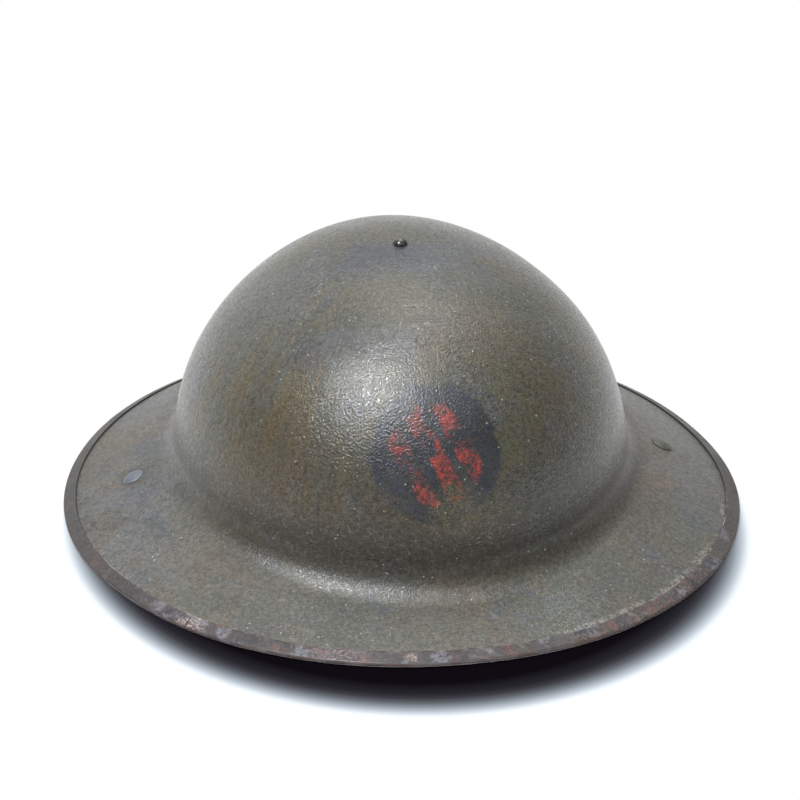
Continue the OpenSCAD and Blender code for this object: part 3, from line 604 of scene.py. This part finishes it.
def rim_paint():
    """Rusted strip with remains of paint and bare patches."""
    f = Finish("rusted_rim_paint", (50, 40, 40))
    broken = f.noise(150, 5, 0.65)
    grain = f.noise(900, 3, 0.6).above(0.3, 0.7)
    rusty = f.noise(60, 5, 0.65).above(0.44, 0.60)
    forward, rightward = f.y.below(-0.11, 0.0), f.x.above(-0.01, 0.06)
    f.coat(f.noise(30, 4, 0.6).above(0.38, 0.62), (30, 24, 24))
    f.coat(rusty * (0.15 + 0.75 * forward * rightward) * grain.above(0.1, 0.6), (92, 60, 45))
    f.coat(broken.above(0.53, 0.62) * 0.6, (60, 58, 50))
    for scale, rough, twist, start, share, colour in (
        (75, 0.6, 0.0, 0.52, 0.9, (130, 128, 148)),
        (130, 0.7, 0.0, 0.54, 0.9, (18, 15, 18)),
        (105, 0.7, 0.3, 0.55, 0.75, (115, 48, 40)),
    ):
        f.coat(f.noise(scale, 4, rough, twist=twist).above(start, start + 0.08) * forward * share, colour)
    f.coat((1 - forward) * 0.6, (52, 50, 46))
    bare = f.near((-101, -111, 2), 9, 0.9, broken).either(
        f.near((-17, -152, 3), 3.2, 0.6, broken), f.near((-44, -147, 2), 13, 0.9, broken) * 0.4)
    f.coat(bare * (0.35 + 0.55 * grain), f.mix(grain, (150, 105, 95), (360, 300, 280)))
    worn = f.noise(230, 4, 0.7).above(0.56, 0.70) * forward
    f.coat(worn * 0.45, (170, 165, 170))
    f.shade(0.62 + 0.62 * grain)
    crust = f.far_out().below(0.958, 0.968) * broken.above(0.46, 0.54) * forward
    f.coat(crust * (0.2 + 0.35 * f.x.above(0.03, 0.06)), (300, 280, 250))
    metal, rough = bare * 0.3 + worn * 0.3, 0.46 - 0.1 * worn + 0.14 * rusty
    return f.done(rough, f.bumps(broken * 0.8 + grain * 0.5, 0.12), metal, Specular_IOR_Level=0.6)


def worn_edge():
    """The strip's inner edge, chipped to pale metal in places."""
    f = Finish("chipped_strip_edge", (22, 18, 16))
    chipped = f.noise(110, 5, 0.7).above(0.47, 0.56) * f.y.below(-0.06, -0.01)
    f.coat(chipped, f.mix(f.noise(600, 3), (200, 180, 160), (400, 380, 340)))
    return f.done(0.5, f.bumps(f.noise(700, 3), 0.05), 0.3 * chipped)


def rubbed_fold():
    """The strip's outer fold, rubbed by handling."""
    f = Finish("rubbed_strip_fold", (75, 62, 60))
    cloud, grain = f.noise(90, 5, 0.65), f.noise(1100, 3, 0.6)
    rusty = f.noise(60, 5, 0.65).above(0.46, 0.60)
    f.coat(cloud.above(0.36, 0.64), (150, 138, 142))
    f.coat(rusty * 0.6, (115, 62, 42))
    f.shade(0.55 + 0.9 * grain)
    return f.done(0.42 + 0.12 * rusty, f.bumps(cloud + grain * 0.6, 0.08), 0.25 * cloud.above(0.5, 0.62))


def rivet_paint():
    """Rivet heads: blue-grey on the left, olive on the right and dark gloss on the crown."""
    f = Finish("painted_rivet_heads", (22, 18, 18))
    rubbed = f.noise(420, 4, 0.65).above(0.52, 0.66)
    grain = f.noise(900, 2, 0.6)
    left, right = f.x.below(-0.06, -0.04), f.x.above(0.04, 0.06)
    f.coat(left, (90, 105, 122))
    f.coat(right, (50, 52, 36))
    f.coat(rubbed * 0.35, (200, 195, 190))
    f.shade(0.7 + 0.6 * grain)
    rough = 0.2 + 0.22 * left + 0.25 * right + 0.1 * grain
    return f.done(rough, f.bumps(f.noise(500, 3) + grain * 0.5, 0.06), 0.15 * rubbed, Specular_IOR_Level=0.75)


def dark_steel(name, base, bright, rough, metal, rust=0.4):
    """Steel with the remains of a dark finish, rubbed and spotted with rust."""
    f = Finish(name, base)
    cloud = f.noise(160, 4, 0.6)
    rubbed = f.noise(420, 4, 0.65).above(0.5, 0.64)
    spots = f.noise(260, 4, 0.6).above(0.58, 0.68)
    f.coat(cloud, tuple(0.6 * c for c in base))
    f.coat(rubbed * 0.7, bright)
    f.coat(spots * rust, (130, 55, 25))
    height = f.noise(600, 4, 0.6) + f.noise(2200, 2) * 0.3
    return f.done(rough + 0.12 * cloud + 0.15 * spots, f.bumps(height, 0.05), metal * (1 - 0.6 * spots))


def leather(name, dark, light, rough, pores=900):
    """Tanned leather with pores, fine creases and darkened marks."""
    f = Finish(name, dark)
    fibre = f.noise(260, 5, 0.65)
    crease = f.cracks(150, 0.05, f.stretched(1, 1.6, 1)) * f.noise(35, 3).above(0.48, 0.62)
    f.coat(f.noise(28, 5, 0.6).above(0.32, 0.68), light)
    f.coat(fibre.above(0.55, 0.7) * 0.35, tuple(1.5 * c for c in light))
    f.coat(crease * 0.6, tuple(0.4 * c for c in dark))
    f.shade(0.75 + 0.5 * fibre)
    height = f.cells(pores, "SMOOTH_F1") * 0.5 + fibre * 0.6 - crease * 1.2
    return f.done(rough + 0.18 * fibre, f.bumps(height, 0.16))


def oilcloth():
    """Black coated cloth, cracked over its weave."""
    f = Finish("black_oilcloth", (17, 16, 15))
    crack = f.cracks(210, 0.045) * f.noise(45, 3).above(0.44, 0.58)
    scuffed = f.noise(120, 5, 0.65).above(0.54, 0.68)
    f.coat(f.noise(40, 4), (34, 31, 28))
    f.coat(scuffed * 0.4, (75, 66, 54))
    f.coat(crack * 0.7, (120, 100, 75))
    weave = f.wave("X", 420, 0.6, 3) * 0.4 + f.wave("Y", 420, 0.6, 3) * 0.4
    return f.done(0.4 + 0.25 * scuffed, f.bumps(weave - crack * 1.5 + f.noise(500, 3) * 0.4, 0.09))


def felt():
    """Grey-brown pressed felt with loose fibres."""
    f = Finish("pressed_felt", (170, 155, 120))
    fibre = f.noise(1.0, 5, 0.7, f.stretched(900, 500, 900), 1.5)
    tuft = f.noise(190, 5, 0.7)
    f.coat(tuft, (300, 275, 220))
    f.coat(fibre.above(0.58, 0.7) * 0.5, (420, 390, 330))
    f.coat(f.noise(26, 3).above(0.55, 0.7) * 0.5, (130, 105, 75))
    return f.done(0.95, f.bumps(fibre + tuft * 1.4, 0.3), Sheen_Weight=0.3)


def twine():
    """Natural cotton twine, soiled where it touches the head."""
    f = Finish("cotton_twine", (440, 360, 230))
    strand = f.wave("DIAGONAL", 330, 2, 2)
    f.coat(f.noise(30, 4).above(0.42, 0.66), (250, 190, 115))
    f.shade(0.65 + 0.45 * strand + 0.25 * f.noise(800, 3))
    return f.done(0.9, f.bumps(strand + f.noise(1500, 3) * 0.6, 0.12), Sheen_Weight=0.2)


def aged_rubber():
    """Red-grey rubber with a dry bloom and fine cracks."""
    f = Finish("aged_rubber", (30, 25, 22))
    bloom = f.noise(90, 5, 0.65).above(0.4, 0.68)
    crack = f.cracks(420, 0.05) * f.noise(80, 3).above(0.45, 0.6)
    f.coat(bloom, (85, 76, 68))
    f.coat(crack * 0.8, (12, 10, 9))
    return f.done(0.72 + 0.18 * bloom, f.bumps(f.noise(700, 4) - crack, 0.08))


def thread():
    """Waxed linen thread."""
    f = Finish("waxed_thread", (220, 170, 100))
    twist = f.noise(1600, 3)
    f.coat(twist, (420, 350, 240))
    return f.done(0.7, f.bumps(twist, 0.05))


# Helmet pieces

# Dents that the photograph shows: middle, reach and depth
DENTS = (((-31, -57, 101), 5, -0.35), ((33, -18, 111), 6, -0.4), ((60, -30, 99), 9, -0.35),
         ((-100, -80, 15), 16, -0.4))


def sheet_error(points):
    """Small dents of the sheet, in millimetres along its upward direction."""
    rng = np.random.default_rng(DENT_SEED)
    dents = []
    for _ in range(SCATTERED_DENTS):
        t, h = rng.uniform(0, tau), rng.uniform(0.1, 1.0)
        place = (140 * h * cos(t), 150 * h * sin(t), 117 - 112 * h**2.1)
        dents.append((place, rng.uniform(9, 26), rng.uniform(-0.34, 0.16)))
    error = np.zeros(points.shape[:-1])
    for place, reach, depth in dents + list(DENTS):
        error += depth * np.exp(-((points - np.array(place)) ** 2).sum(-1) / (2 * reach**2))
    return error


def hump(t, at, width):
    """1 at an angle in degrees, falling to 0 on both sides of it."""
    off = (np.degrees(t) - at + 180) % 360 - 180
    return np.exp(-(off / width) ** 2)


def bent(points):
    """The points, moved as the used brim stands off a true oval in a plane."""
    t = np.arctan2(points[..., 1] / HELMET_L, points[..., 0] / HELMET_W)
    out = np.hypot(points[..., 0] / (HELMET_W / 2), points[..., 1] / (HELMET_L / 2))
    share = np.clip((out - 0.72) / 0.28, 0, 1) ** 1.5
    height = 0.12 + 0.35 * hump(t, 248, 18) + 0.95 * hump(t, 274, 16) + 0.4 * hump(t, 125, 22)
    height = height + 0.08 * np.sin(7 * t + 2.0)
    reach = 1.2 * hump(t, 325, 28) - 0.75 * hump(t, 14, 14) - 0.45 * hump(t, 160, 14) + 0.5 * hump(t, 196, 10)
    return points + np.stack([share * reach * np.cos(t), share * reach * np.sin(t), share * height], -1)


def make_shell():
    skins, ups = zip(*(s.skin() for s in (side, front, back)))
    outer, ups = (round_oval(lines, all_round()) for lines in (skins, ups))
    ups /= np.linalg.norm(ups, axis=-1, keepdims=True)
    error, shift = sheet_error(outer), bent(outer) - outer
    top = outer + ups * error[..., None] + shift
    under = outer + ups * (error - STEEL_T)[..., None] + shift
    points = np.concatenate([top, under[:, ::-1]], 1)
    n = points.shape[1]
    ends = [tuple(i * n for i in range(SEGMENTS)), tuple(i * n + n - 1 for i in range(SEGMENTS))]
    piece = shape("steel_shell", points, 50, quads(SEGMENTS, n, True) + ends)
    fit(piece, shell_paint(), "shell_paint", "shell")
    piece.data.materials.append(inner_paint())
    inside = [int(k >= n // 2 - 1) for _ in range(SEGMENTS) for k in range(n - 1)] + [0, 1]
    piece.data.polygons.foreach_set("material_index", inside)


def strip_line(s, widen, raised):
    """Outline of the folded strip, over its upper leaf, round the fold and back inside."""
    inner = FOLD_R - STRIP_T
    turn = atan2(s.up[1], s.up[0])
    upper, lower = STRIP_W - FOLD_R + widen, STRIP_UNDER_W - FOLD_R

    def at(inward, over):
        return s.edge - inward * s.out + over * s.up

    edge = ((0.0, 0.3), (0.05, 0.12), (0.25, 0.0))
    points = [at(upper - k, FOLD_R + raised * (1 - k) - drop) for k, drop in edge]
    points += [at(upper - k, FOLD_R + raised * max(0, 1 - k / 3)) for k in (1.5, 3.0, 4.5)]
    points += [s.edge + FOLD_R * ray(turn - a) for a in np.linspace(0, pi, 15)]
    points += [at(k, -FOLD_R) for k in (1.5, 3.0, lower - 0.2)]
    points += [at(lower, 0.2 - FOLD_R), at(lower, -inner - 0.1), at(lower - 0.1, -inner), at(2.0, -inner)]
    points += [s.edge + inner * ray(turn - a) for a in np.linspace(pi, 0, 9)]
    return points + [at(2.0, inner), at(upper - 0.15, inner + raised), at(upper, inner + 0.12 + raised)]


def make_rim_strip():
    """The folded strip, with its butt joint at the front left."""
    gap = tau * JOINT_GAP / (pi * HELMET_L)
    angles = np.linspace(JOINT_AT + gap / 2, JOINT_AT + tau - gap / 2, STRIP_ROWS)
    rng = np.random.default_rng(STRIP_SEED)
    waves = [(n, rng.uniform(0, 6.3), rng.uniform(0.4, 1.0) / n**0.5) for n in (5, 9, 14, 23, 37, 61)]
    uneven = sum(size * np.sin(n * angles + shift) for n, shift, size in waves) / 2.2
    rows = []
    for t, e in zip(angles, uneven):
        widen = 0.32 * e + 0.8 * hump(t, 262, 24) - 0.5 * hump(t, 185, 30)
        raised = 0.05 + 0.09 * max(0.0, sin(3.3 * t + 4 * e))
        lines = [strip_line(s, widen, raised) for s in (side, front, back)]
        rows.append(round_oval(lines, np.array([t]))[0])
    points = bent(np.array(rows))
    n = points.shape[1]
    piece = shape("folded_rim_strip", points, 40, bar_faces(STRIP_ROWS, n))
    fit(piece, rim_paint(), "rim_paint", "rim_band")
    piece.data.materials.append(worn_edge())
    piece.data.materials.append(rubbed_fold())
    ring = [1 if k in (0, 1, n - 1) else 2 if 9 <= k <= 17 else 0 for k in range(n)]
    piece.data.polygons.foreach_set("material_index", ring * (STRIP_ROWS - 1) + [0, 0])


# Liner

FLAT_TOP = 0.9
CROWN_DROP = WASHER_D / 2 * tan((pi / 2 - side.join) / 10)
WASHER_Z = CROWN_H - STEEL_T - CROWN_DROP - SEAT_GAP - WASHER_T
FORE_Z = WASHER_Z - SEAT_GAP
CROSS_Z = FORE_Z - LINER_STRAP_T - SEAT_GAP


def strap_line(s, top_z, extra):
    """Line of a liner strap from its lower end to the crown."""
    crown = CROWN_H - top_z - FLAT_TOP
    a1 = asin((TUBE_HIGH - BASE_Z) / (WALL_R - STRAP_DEPTH))
    line = [s.liner(TUBE_LOW + 2 * HOOP_INSET, STRAP_DEPTH + extra)]
    for a in np.linspace(a1, pi / 2, 50):
        share = ((pi / 2 - a) / (pi / 2 - a1)) ** 2
        x, z = s.bowl(a, crown + (STRAP_DEPTH - crown) * share + extra)
        line.append((x, min(z, top_z - extra)))
    return np.array(line)


def eased(path, passes):
    """The same path with its corners rounded off."""
    path = np.array(path, float)
    for _ in range(passes):
        path[1:-1] = (path[:-2] + 2 * path[1:-1] + path[2:]) / 4
    return path


def spaced(path, step):
    """Points at even steps along a path."""
    path = np.asarray(path, float)
    run = np.r_[0, np.cumsum(np.linalg.norm(np.diff(path, axis=0), axis=1))]
    at = np.linspace(0, run[-1], max(2, int(run[-1] / step) + 1))
    return np.stack([np.interp(at, run, path[:, k]) for k in range(path.shape[1])], 1)


def make_liner_strap(name, s, top_z, sideways, finish):
    half = strap_line(s, top_z, LINER_STRAP_T / 2)
    path = eased(spaced(np.concatenate([half, half[-2::-1] * [-1, 1]]), 2.0), 2)[::-1]
    points, faces = ribbon(path, LINER_STRAP_W, LINER_STRAP_T)
    if not sideways:
        points = points[..., [1, 0, 2]]
    fit(shape("woven_" + name, points, 50, faces), finish, "oilcloth", name)


def make_crown_pad(finish):
    """Felt ring under the crown, soft and a little uneven."""
    under = strap_line(side, CROSS_Z, LINER_STRAP_T)[::-1]
    radii = np.linspace(PAD_HOLE_D / 2, PAD_D / 2, 22)
    middle = np.interp(radii, under[:, 0], under[:, 1]) - SIDE_GAP - PAD_T / 2
    half = np.minimum(1, np.sin(np.linspace(0.16, pi - 0.16, 22)) * 2.4) * PAD_T / 2
    line = np.concatenate([np.stack([radii, middle + half], 1), np.stack([radii, middle - half], 1)[::-1]])
    pad = shape("felt_crown_pad", round_axis(line, 120), 80)
    rng = np.random.default_rng(PAD_SEED)
    for v in pad.data.vertices:
        v.co.z += rng.normal(0, 0.00006) - 0.00025 * (1 + sin(3 * atan2(v.co.y, v.co.x) + 1))
    fit(pad, finish, "felt", "crown_pad")


def make_washer(finish):
    line = rounded_bar((WASHER_HOLE_D / 2, WASHER_Z), (WASHER_D / 2, WASHER_Z + WASHER_T), 0.45)
    washer = shape("leather_crown_washer", round_axis(line, 96), 35)
    fit(washer, finish, "strap_leather", "crown_leather_washer")


def band_line(s, low_z, high_z, depth, thick, corner, steps, bow=None):
    """Cut through a hoop or band of the liner, bowed in by so much half way up."""
    low, high = s.liner(low_z, depth + thick / 2), s.liner(high_z, depth + thick / 2)
    length = np.linalg.norm(high - low)
    along = (high - low) / length
    outward = np.array([along[1], -along[0]])
    bar = rounded_bar((0, -thick / 2), (length, thick / 2), corner, steps)
    if bow is not None:
        bar = spaced(np.concatenate([bar, bar[:1]]), 1.6)[:-1]
        bar[:, 1] -= bow * np.sin(np.clip(bar[:, 0] / length, 0, 1) * pi)
    return np.array([low + x * along + y * outward for x, y in bar])


def make_hoop(finish):
    low, high = TUBE_LOW + HOOP_INSET, TUBE_HIGH - HOOP_INSET
    lines = [band_line(s, low, high, HOOP_DEPTH, HOOP_T, 0.2, 3) for s in (side, front)]
    fit(shape("tin_liner_hoop", round_oval(lines, all_round()), 35), finish, "tin", "liner_hoop")


def bow_share(t):
    """1 where the band bows in most, between two buffers, and 0 at a buffer."""
    return 0.5 - 0.5 * cos(TUBES * (t + pi / TUBES))


def make_headband(finish):
    """Leather band, bowed in a little between the buffers."""
    rows = []
    for t in all_round():
        bow = BAND_BOW * bow_share(t)
        lines = [band_line(s, BAND_LOW, BAND_HIGH, BAND_DEPTH, BAND_T, 0.85, 5, bow) for s in (side, front)]
        rows.append(round_oval(lines, np.array([t]))[0])
    fit(shape("leather_headband", np.array(rows), 60), finish, "band_leather", "headband")


def make_band_stitches(finish):
    """Two rows of stitches along the band's edges."""
    rows = Bundle()
    for z, count in STITCH_ROWS:
        belly = BAND_BOW * sin((z - BAND_LOW) / (BAND_HIGH - BAND_LOW) * pi)
        c = pi / count * STITCH_SHARE
        for i in range(count):
            t = (i + 0.5) * tau / count
            bow = belly * bow_share(t)
            path = round_liner(z, BAND_DEPTH + BAND_T + 0.12 + bow, t - c, t - c * 0.5, t, t + c * 0.5, t + c)
            path[[0, -1], :2] *= 1.008
            rows.cord(path, STITCH_R)
    fit(rows.made("headband_stitches"), finish, "twine")


def net_point(a, t, inset):
    """Point of the net at the angle a above its edge and t round the oval."""
    low = BAND_HIGH - NET_LAP
    halves = [s.liner(low, NET_DEPTH)[0] - inset for s in (side, front)]
    z = low + (CROWN_H - NET_DROP - low - inset) * np.sin(a)
    return np.stack([halves[0] * np.cos(a) * np.cos(t), halves[1] * np.cos(a) * np.sin(t), z + 0 * t], -1)


def make_net(finish):
    """Knotted head net: crossing twines, their knots and the drawing cord at the top."""
    meshes = Bundle()
    a = np.linspace(0.02, NET_TOP, 40)
    half, high = 80.0, CROWN_H - NET_DROP - BAND_HIGH + NET_LAP
    step = np.sqrt((half * np.sin(a)) ** 2 + (high * np.cos(a)) ** 2) / (half * np.cos(a)) * np.gradient(a)
    turn = NET_SLANT * (np.cumsum(step) - step[0])
    for start in all_round(NET_STRANDS):
        for way, inset in ((1, 0.8), (-1, 1.2)):
            meshes.cord(net_point(a, start + way * turn, inset), TWINE_R)
    ball = bmesh.new()
    bmesh.ops.create_icosphere(ball, subdivisions=1, radius=1.0)
    knot = np.array([v.co[:] for v in ball.verts]) * KNOT_SIZE
    knot_faces = [tuple(v.index for v in f.verts) for f in ball.faces]
    ball.free()
    for level in range(1, int(turn[-1] * NET_STRANDS / pi)):
        shift = pi * level / NET_STRANDS
        at = np.interp(shift, turn, a)
        for start in all_round(NET_STRANDS):
            centre = net_point(at, np.array([start + shift]), 1.0)
            meshes.add(centre + knot * (0.85 if at > 1.1 else 1), knot_faces)
    meshes.cord(net_point(NET_TOP, all_round(72), 1.0), DRAWING_CORD_R, 8, True)
    fit(meshes.made("knotted_head_net"), finish, "twine", "liner_net")


def make_lace(finish):
    """Two-strand lacing cord along the band, with its tucks through the net."""
    plies, in_band = Bundle(), BAND_DEPTH + BAND_T / 3
    t = all_round(LACE_TURNS * 12)
    centre = round_liner(BAND_HIGH + SIDE_GAP + LACE_D / 2, in_band, *t)
    out = centre * [1, 1, 0]
    out /= np.linalg.norm(out, axis=1)[:, None]
    for shift in (0, pi):
        a = (LACE_TURNS * t + shift)[:, None]
        plies.cord(centre + PLY_OFF * (out * np.cos(a) + np.array([0, 0, 1.0]) * np.sin(a)), PLY_R, 7, True)
    for i in range(LACE_TUCKS):
        middle = tau * (i + 0.5) / LACE_TUCKS
        path = []
        for k in np.linspace(0, 1, 7):
            depth = in_band + (BAND_T + 1.5 - BAND_T / 3) * min(1, 2.4 * k)
            turn = middle + TUCK_LEAN * (k - 0.5)
            path.append(round_liner(BAND_HIGH + 1.6 - TUCK_DROP * k, depth, turn)[0])
        plies.cord(path, TUCK_R)
    fit(plies.made("lacing_cord"), finish, "twine", "liner_lace")


def make_buffers(finish):
    """Twelve rubber tubes, each with a faint waist where the hoop presses."""
    lean, mid = side.lean(), (TUBE_LOW + TUBE_HIGH) / 2
    r, bore, half = TUBE_D / 2, TUBE_BORE / 2, (TUBE_HIGH - TUBE_LOW) / cos(lean) / 2
    line = [(r - 0.7, -half), (r - 0.2, 0.2 - half)]
    for z in np.linspace(0.7 - half, half - 0.7, 12):
        line.append((r - TUBE_WAIST * exp(-(z / TUBE_WAIST_REACH) ** 2), z))
    line += [(r - 0.2, half - 0.2), (r - 0.7, half), (bore + 0.3, half)]
    line += [(bore, half - 0.3), (bore, 0.3 - half), (bore + 0.3, -half)]
    local = round_axis(line, 48)
    a, b = side.liner(mid, TUBE_DEPTH)[0], front.liner(mid, TUBE_DEPTH)[0]
    c, s = ray(-lean)
    tilt = np.array([[c, 0, s], [0, 1, 0], [-s, 0, c]])
    for i in range(TUBES):
        x, y = ray(tau * (i + 0.5) / TUBES)
        c, s = ray(atan2(y / b, x / a))
        swing = np.array([[c, -s, 0], [s, c, 0], [0, 0, 1]])
        points = local @ (swing @ tilt).T + [a * x, b * y, mid]
        number = f"{i + 1:02d}"
        fit(shape("rubber_buffer_" + number, points, 50), finish, "tube_rubber", "buffer_tube_" + number)


# Chin strap

def bail_bar():
    """Distance and height of the bails' strap bars, and height of the straps' undersides."""
    top = side.edge + STEEL_T / 2 * side.up
    brim_z = top[1] + (top[0] - RIVET_X) * tan(side.slope)
    barrel = -STEEL_T - SIDE_GAP - (WIRE_D / 2 + RUN_GAP + BRACKET_T)
    hinge = np.array([RIVET_X, brim_z]) - REACH * side.out + barrel * side.up
    strap_z = SIDE_GAP + RIVET_HEAD_T + SEAT_GAP
    bar_z = strap_z + STRAP_T + WIRE_D / 2 + FOLD_GAP
    return hinge[0] - sqrt(BAIL_L**2 - (hinge[1] - bar_z) ** 2), bar_z, strap_z


BAR_X, BAR_Z, STRAP_Z = bail_bar()


def fold_path(r_in, slack):
    """Middle line of a folded strap end, from its tail round the bar to its lower layer."""
    mid, close = r_in + STRAP_T / 2, FOLD_L + FOLD_TAPER
    tail_z = STRAP_T / 2 - r_in
    path = [(close + FOLD_TAIL, tail_z), (close + 0.5, tail_z), (FOLD_L - 0.5, mid), (-slack, mid)]
    path += [(-slack + mid * cos(a), mid * sin(a)) for a in np.radians(np.linspace(97, 263, 14))]
    return path + [(-slack, -mid)]


def on_bar(points, way):
    """Puts a strap piece on its bail's bar. way is 1 on the right and -1 on the left."""
    c, s = ray(way * LAY)
    x, y, z = np.moveaxis(points, -1, 0)
    placed = np.stack([x * c - y * s - BAR_X, x * s + y * c, z + BAR_Z], -1)
    return placed * ([-1, 1, 1] if way > 0 else [1, 1, 1])


def make_chin_straps(finish):
    def strap(length, path, narrowing, way):
        path = eased(spaced(path, 0.9), 5)
        points, faces = ribbon(path, STRAP_W, STRAP_T - 0.06, narrowing(path), STRAP_CREASE)
        piece = shape(length + "_chin_strap", on_bar(points, way), 60, faces)
        fit(piece, finish, "strap_leather", "chin_strap_" + length, body=length + "_strap")

    def pointed(path):
        from_tip, tip = LONG_L - path[:, 0], STRAP_W / 2
        round_in = np.sqrt(np.clip(1 - (1 - np.clip(from_tip, 0, tip) / tip) ** 2.2, 0.02, 1))
        return np.where((from_tip < tip) & (path[:, 1] < -bar_r), round_in, 1)

    bar_r, slack = WIRE_D / 2 + FOLD_GAP, STRAP_W / 2 * sin(LAY) + 0.2
    strap("long", fold_path(bar_r, slack) + [(LONG_L, -bar_r - STRAP_T / 2)], pointed, -1)
    buckle_r = BUCKLE_WIRE_D / 2 + FOLD_GAP
    drop = (STRAP_Z + STRAP_T + buckle_r) - BAR_Z
    far = [(SHORT_L - x, z + drop) for x, z in fold_path(buckle_r, 0)][::-1]
    strap("short", fold_path(bar_r, slack) + far, lambda path: 1.0, 1)


# Metal pieces that keep their solids

def finish_metal():
    """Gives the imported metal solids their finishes, and returns the tin one."""
    finishes = {
        "rivet_steel": rivet_paint(),
        "wire_steel": dark_steel("blackened_wire", (35, 34, 33), (220, 210, 200), 0.38, 0.7),
        "plated_steel": dark_steel("dull_plated_steel", (240, 230, 210), (400, 390, 360), 0.36, 0.9, 0.5),
        "tin": dark_steel("dull_tin", (270, 270, 255), (420, 420, 400), 0.4, 0.9, 0.55)}
    for part in frame["record"]["subparts"]:
        node = frame["nodes"][part["node"]]
        finish = finishes.get(part["material_slot"])
        if finish and not node.hide_render:
            for holder in node.material_slots:
                holder.material = finish
    return finishes["tin"]


# Stage

FLOOR_HALF, WHITE = 3, (1000, 1000, 1000)
# The photograph's camera: degrees round and up, metres, and focal length as a share of the picture's width
CAMERA_TURN, CAMERA_LIFT, CAMERA_AWAY, CAMERA_TARGET = -7.93, 24.99, 1.4846, (-0.0001, 0, 0.04453)
SENSOR_W, FOCAL_SHARE = 36, 3453.7 / 800
# The contact shadow: its middle, half width and half length in millimetres, and its tones outwards
SHADOW_X, SHADOW_Y, SHADOW_HALF_W, SHADOW_HALF_L = -1, -19.6, 141.5, 168.3
SHADOW_TONES = (
    (0.1, (4, 3, 5)), (0.35, (18, 17, 22)), (0.45, (40, 39, 47)),
    (0.55, (100, 108, 124)), (0.65, (225, 250, 280)), (0.75, (430, 475, 520)),
    (0.85, (720, 770, 820)), (0.95, (950, 970, 980)), (1.0, WHITE))


def make_floor():
    """White floor with a soft contact shadow, open to the camera from below and where it is white."""
    f = Finish("white_floor")
    mesh = bpy.data.meshes.new("floor")
    corners = [(x * FLOOR_HALF, y * FLOOR_HALF, 0) for x, y in ((-1, -1), (1, -1), (1, 1), (-1, 1))]
    mesh.from_pydata(corners, [], [(0, 1, 2, 3)])
    link("floor", mesh)
    x, y = f.x * 1000 - SHADOW_X, f.y * 1000 - SHADOW_Y
    far = (x * x * (1 / SHADOW_HALF_W**2) + y * y * (1 / SHADOW_HALF_L**2)) ** 0.5
    fade = (far - 0.86) * 5
    tone = f.ramp(fade, SHADOW_TONES)
    glow = f.put("Emission", {"Color": tone, "Strength": 0.85})
    soft = f.put("BsdfDiffuse", {"Color": f.shaded(tone, 0.22)})
    shown = f.put("AddShader", {0: glow, 1: soft})
    lit = f.put("BsdfDiffuse", {"Color": tint((600, 600, 600))})
    look = f.put("MixShader", {0: f.rays("Camera", "Glossy", "Transmission"), 1: lit, 2: shown})
    below = f.put("NewGeometry", out="Backfacing")
    open_to_camera = below.either(fade.above(0.92, 1.0), far.below(0.70, 0.74)) * f.rays("Camera")
    see_through = open_to_camera.either(f.rays("Shadow"))
    surface = f.put("MixShader", {0: see_through, 1: look, 2: f.put("BsdfTransparent")})
    f.put("OutputMaterial", {"Surface": surface})
    mesh.materials.append(f.material)


def make_room():
    """Bright room over and behind the helmet, dimmer on the near side, and white where it is seen."""
    world = bpy.data.worlds.new("white_room")
    scene.world = world
    world.use_nodes = True
    f = Nodes(world.node_tree, "Generated")
    behind, over = f.y.above(-0.1, 0.9), f.z.above(0.35, 1.0)
    light = 0.1 + 0.65 * behind * (1 - 0.5 * f.x.above(0.45, 0.95)) + 0.7 * over
    seen = f.rays("Camera", "Transmission")
    strength = seen + (1 - seen) * light * f.z.above(-0.06, 0.0)
    room = f.put("Background", {"Color": tint(WHITE), "Strength": strength})
    f.put("OutputWorld", {"Surface": room})


def direction(azimuth, elevation):
    """Way towards an azimuth from the front, towards the right, and an elevation in degrees."""
    a, e = radians(azimuth), radians(elevation)
    return Vector((sin(a) * cos(e), -cos(a) * cos(e), sin(e)))


def aim(made, target, way, distance):
    """Puts a lamp or camera at a distance from a target, facing it."""
    made.location = way * distance + Vector(target)
    made.rotation_euler = way.to_track_quat("Z", "Y").to_euler()


def lamp(name, azimuth, elevation, distance, size, power, tone=(1, 1, 1)):
    """A round softbox that faces the helmet."""
    data = bpy.data.lights.new(name, "AREA")
    data.shape, data.size, data.energy, data.color = "DISK", size, power, tone
    aim(link(name, data), (0, 0, 0.06), direction(azimuth, elevation), distance)


def make_camera():
    """The photograph's view, fitted to the rim, the bowl's outline and the three rivets."""
    data = bpy.data.cameras.new("camera")
    data.sensor_width, data.lens = SENSOR_W, FOCAL_SHARE * SENSOR_W
    data.clip_start, data.clip_end = 0.05, 20
    made = link("camera", data)
    aim(made, CAMERA_TARGET, direction(CAMERA_TURN, CAMERA_LIFT), CAMERA_AWAY)
    scene.camera = made


make_camera()
make_shell()
make_rim_strip()
oilcloth_finish, twine_finish = oilcloth(), twine()
hide = leather("strap_leather", (50, 22, 10), (105, 50, 24), 0.46)
make_liner_strap("liner_strap_fore_aft", front, FORE_Z, False, oilcloth_finish)
make_liner_strap("liner_strap_across", side, CROSS_Z, True, oilcloth_finish)
make_crown_pad(felt())
make_washer(hide)
make_headband(leather("band_leather", (58, 30, 16), (120, 66, 34), 0.5, 1100))
make_band_stitches(thread())
make_net(twine_finish)
make_lace(twine_finish)
make_buffers(aged_rubber())
make_chin_straps(hide)
make_hoop(finish_metal())
make_floor()
make_room()
lamp("key_softbox", -45, 61, 1.3, 0.22, 18.5, (0.97, 0.985, 1.03))
lamp("top_softbox", 160, 70, 1.5, 0.9, 6)
lamp("liner_softbox", 170, -62, 1.3, 0.7, 13)

scene.view_settings.view_transform = "Standard"
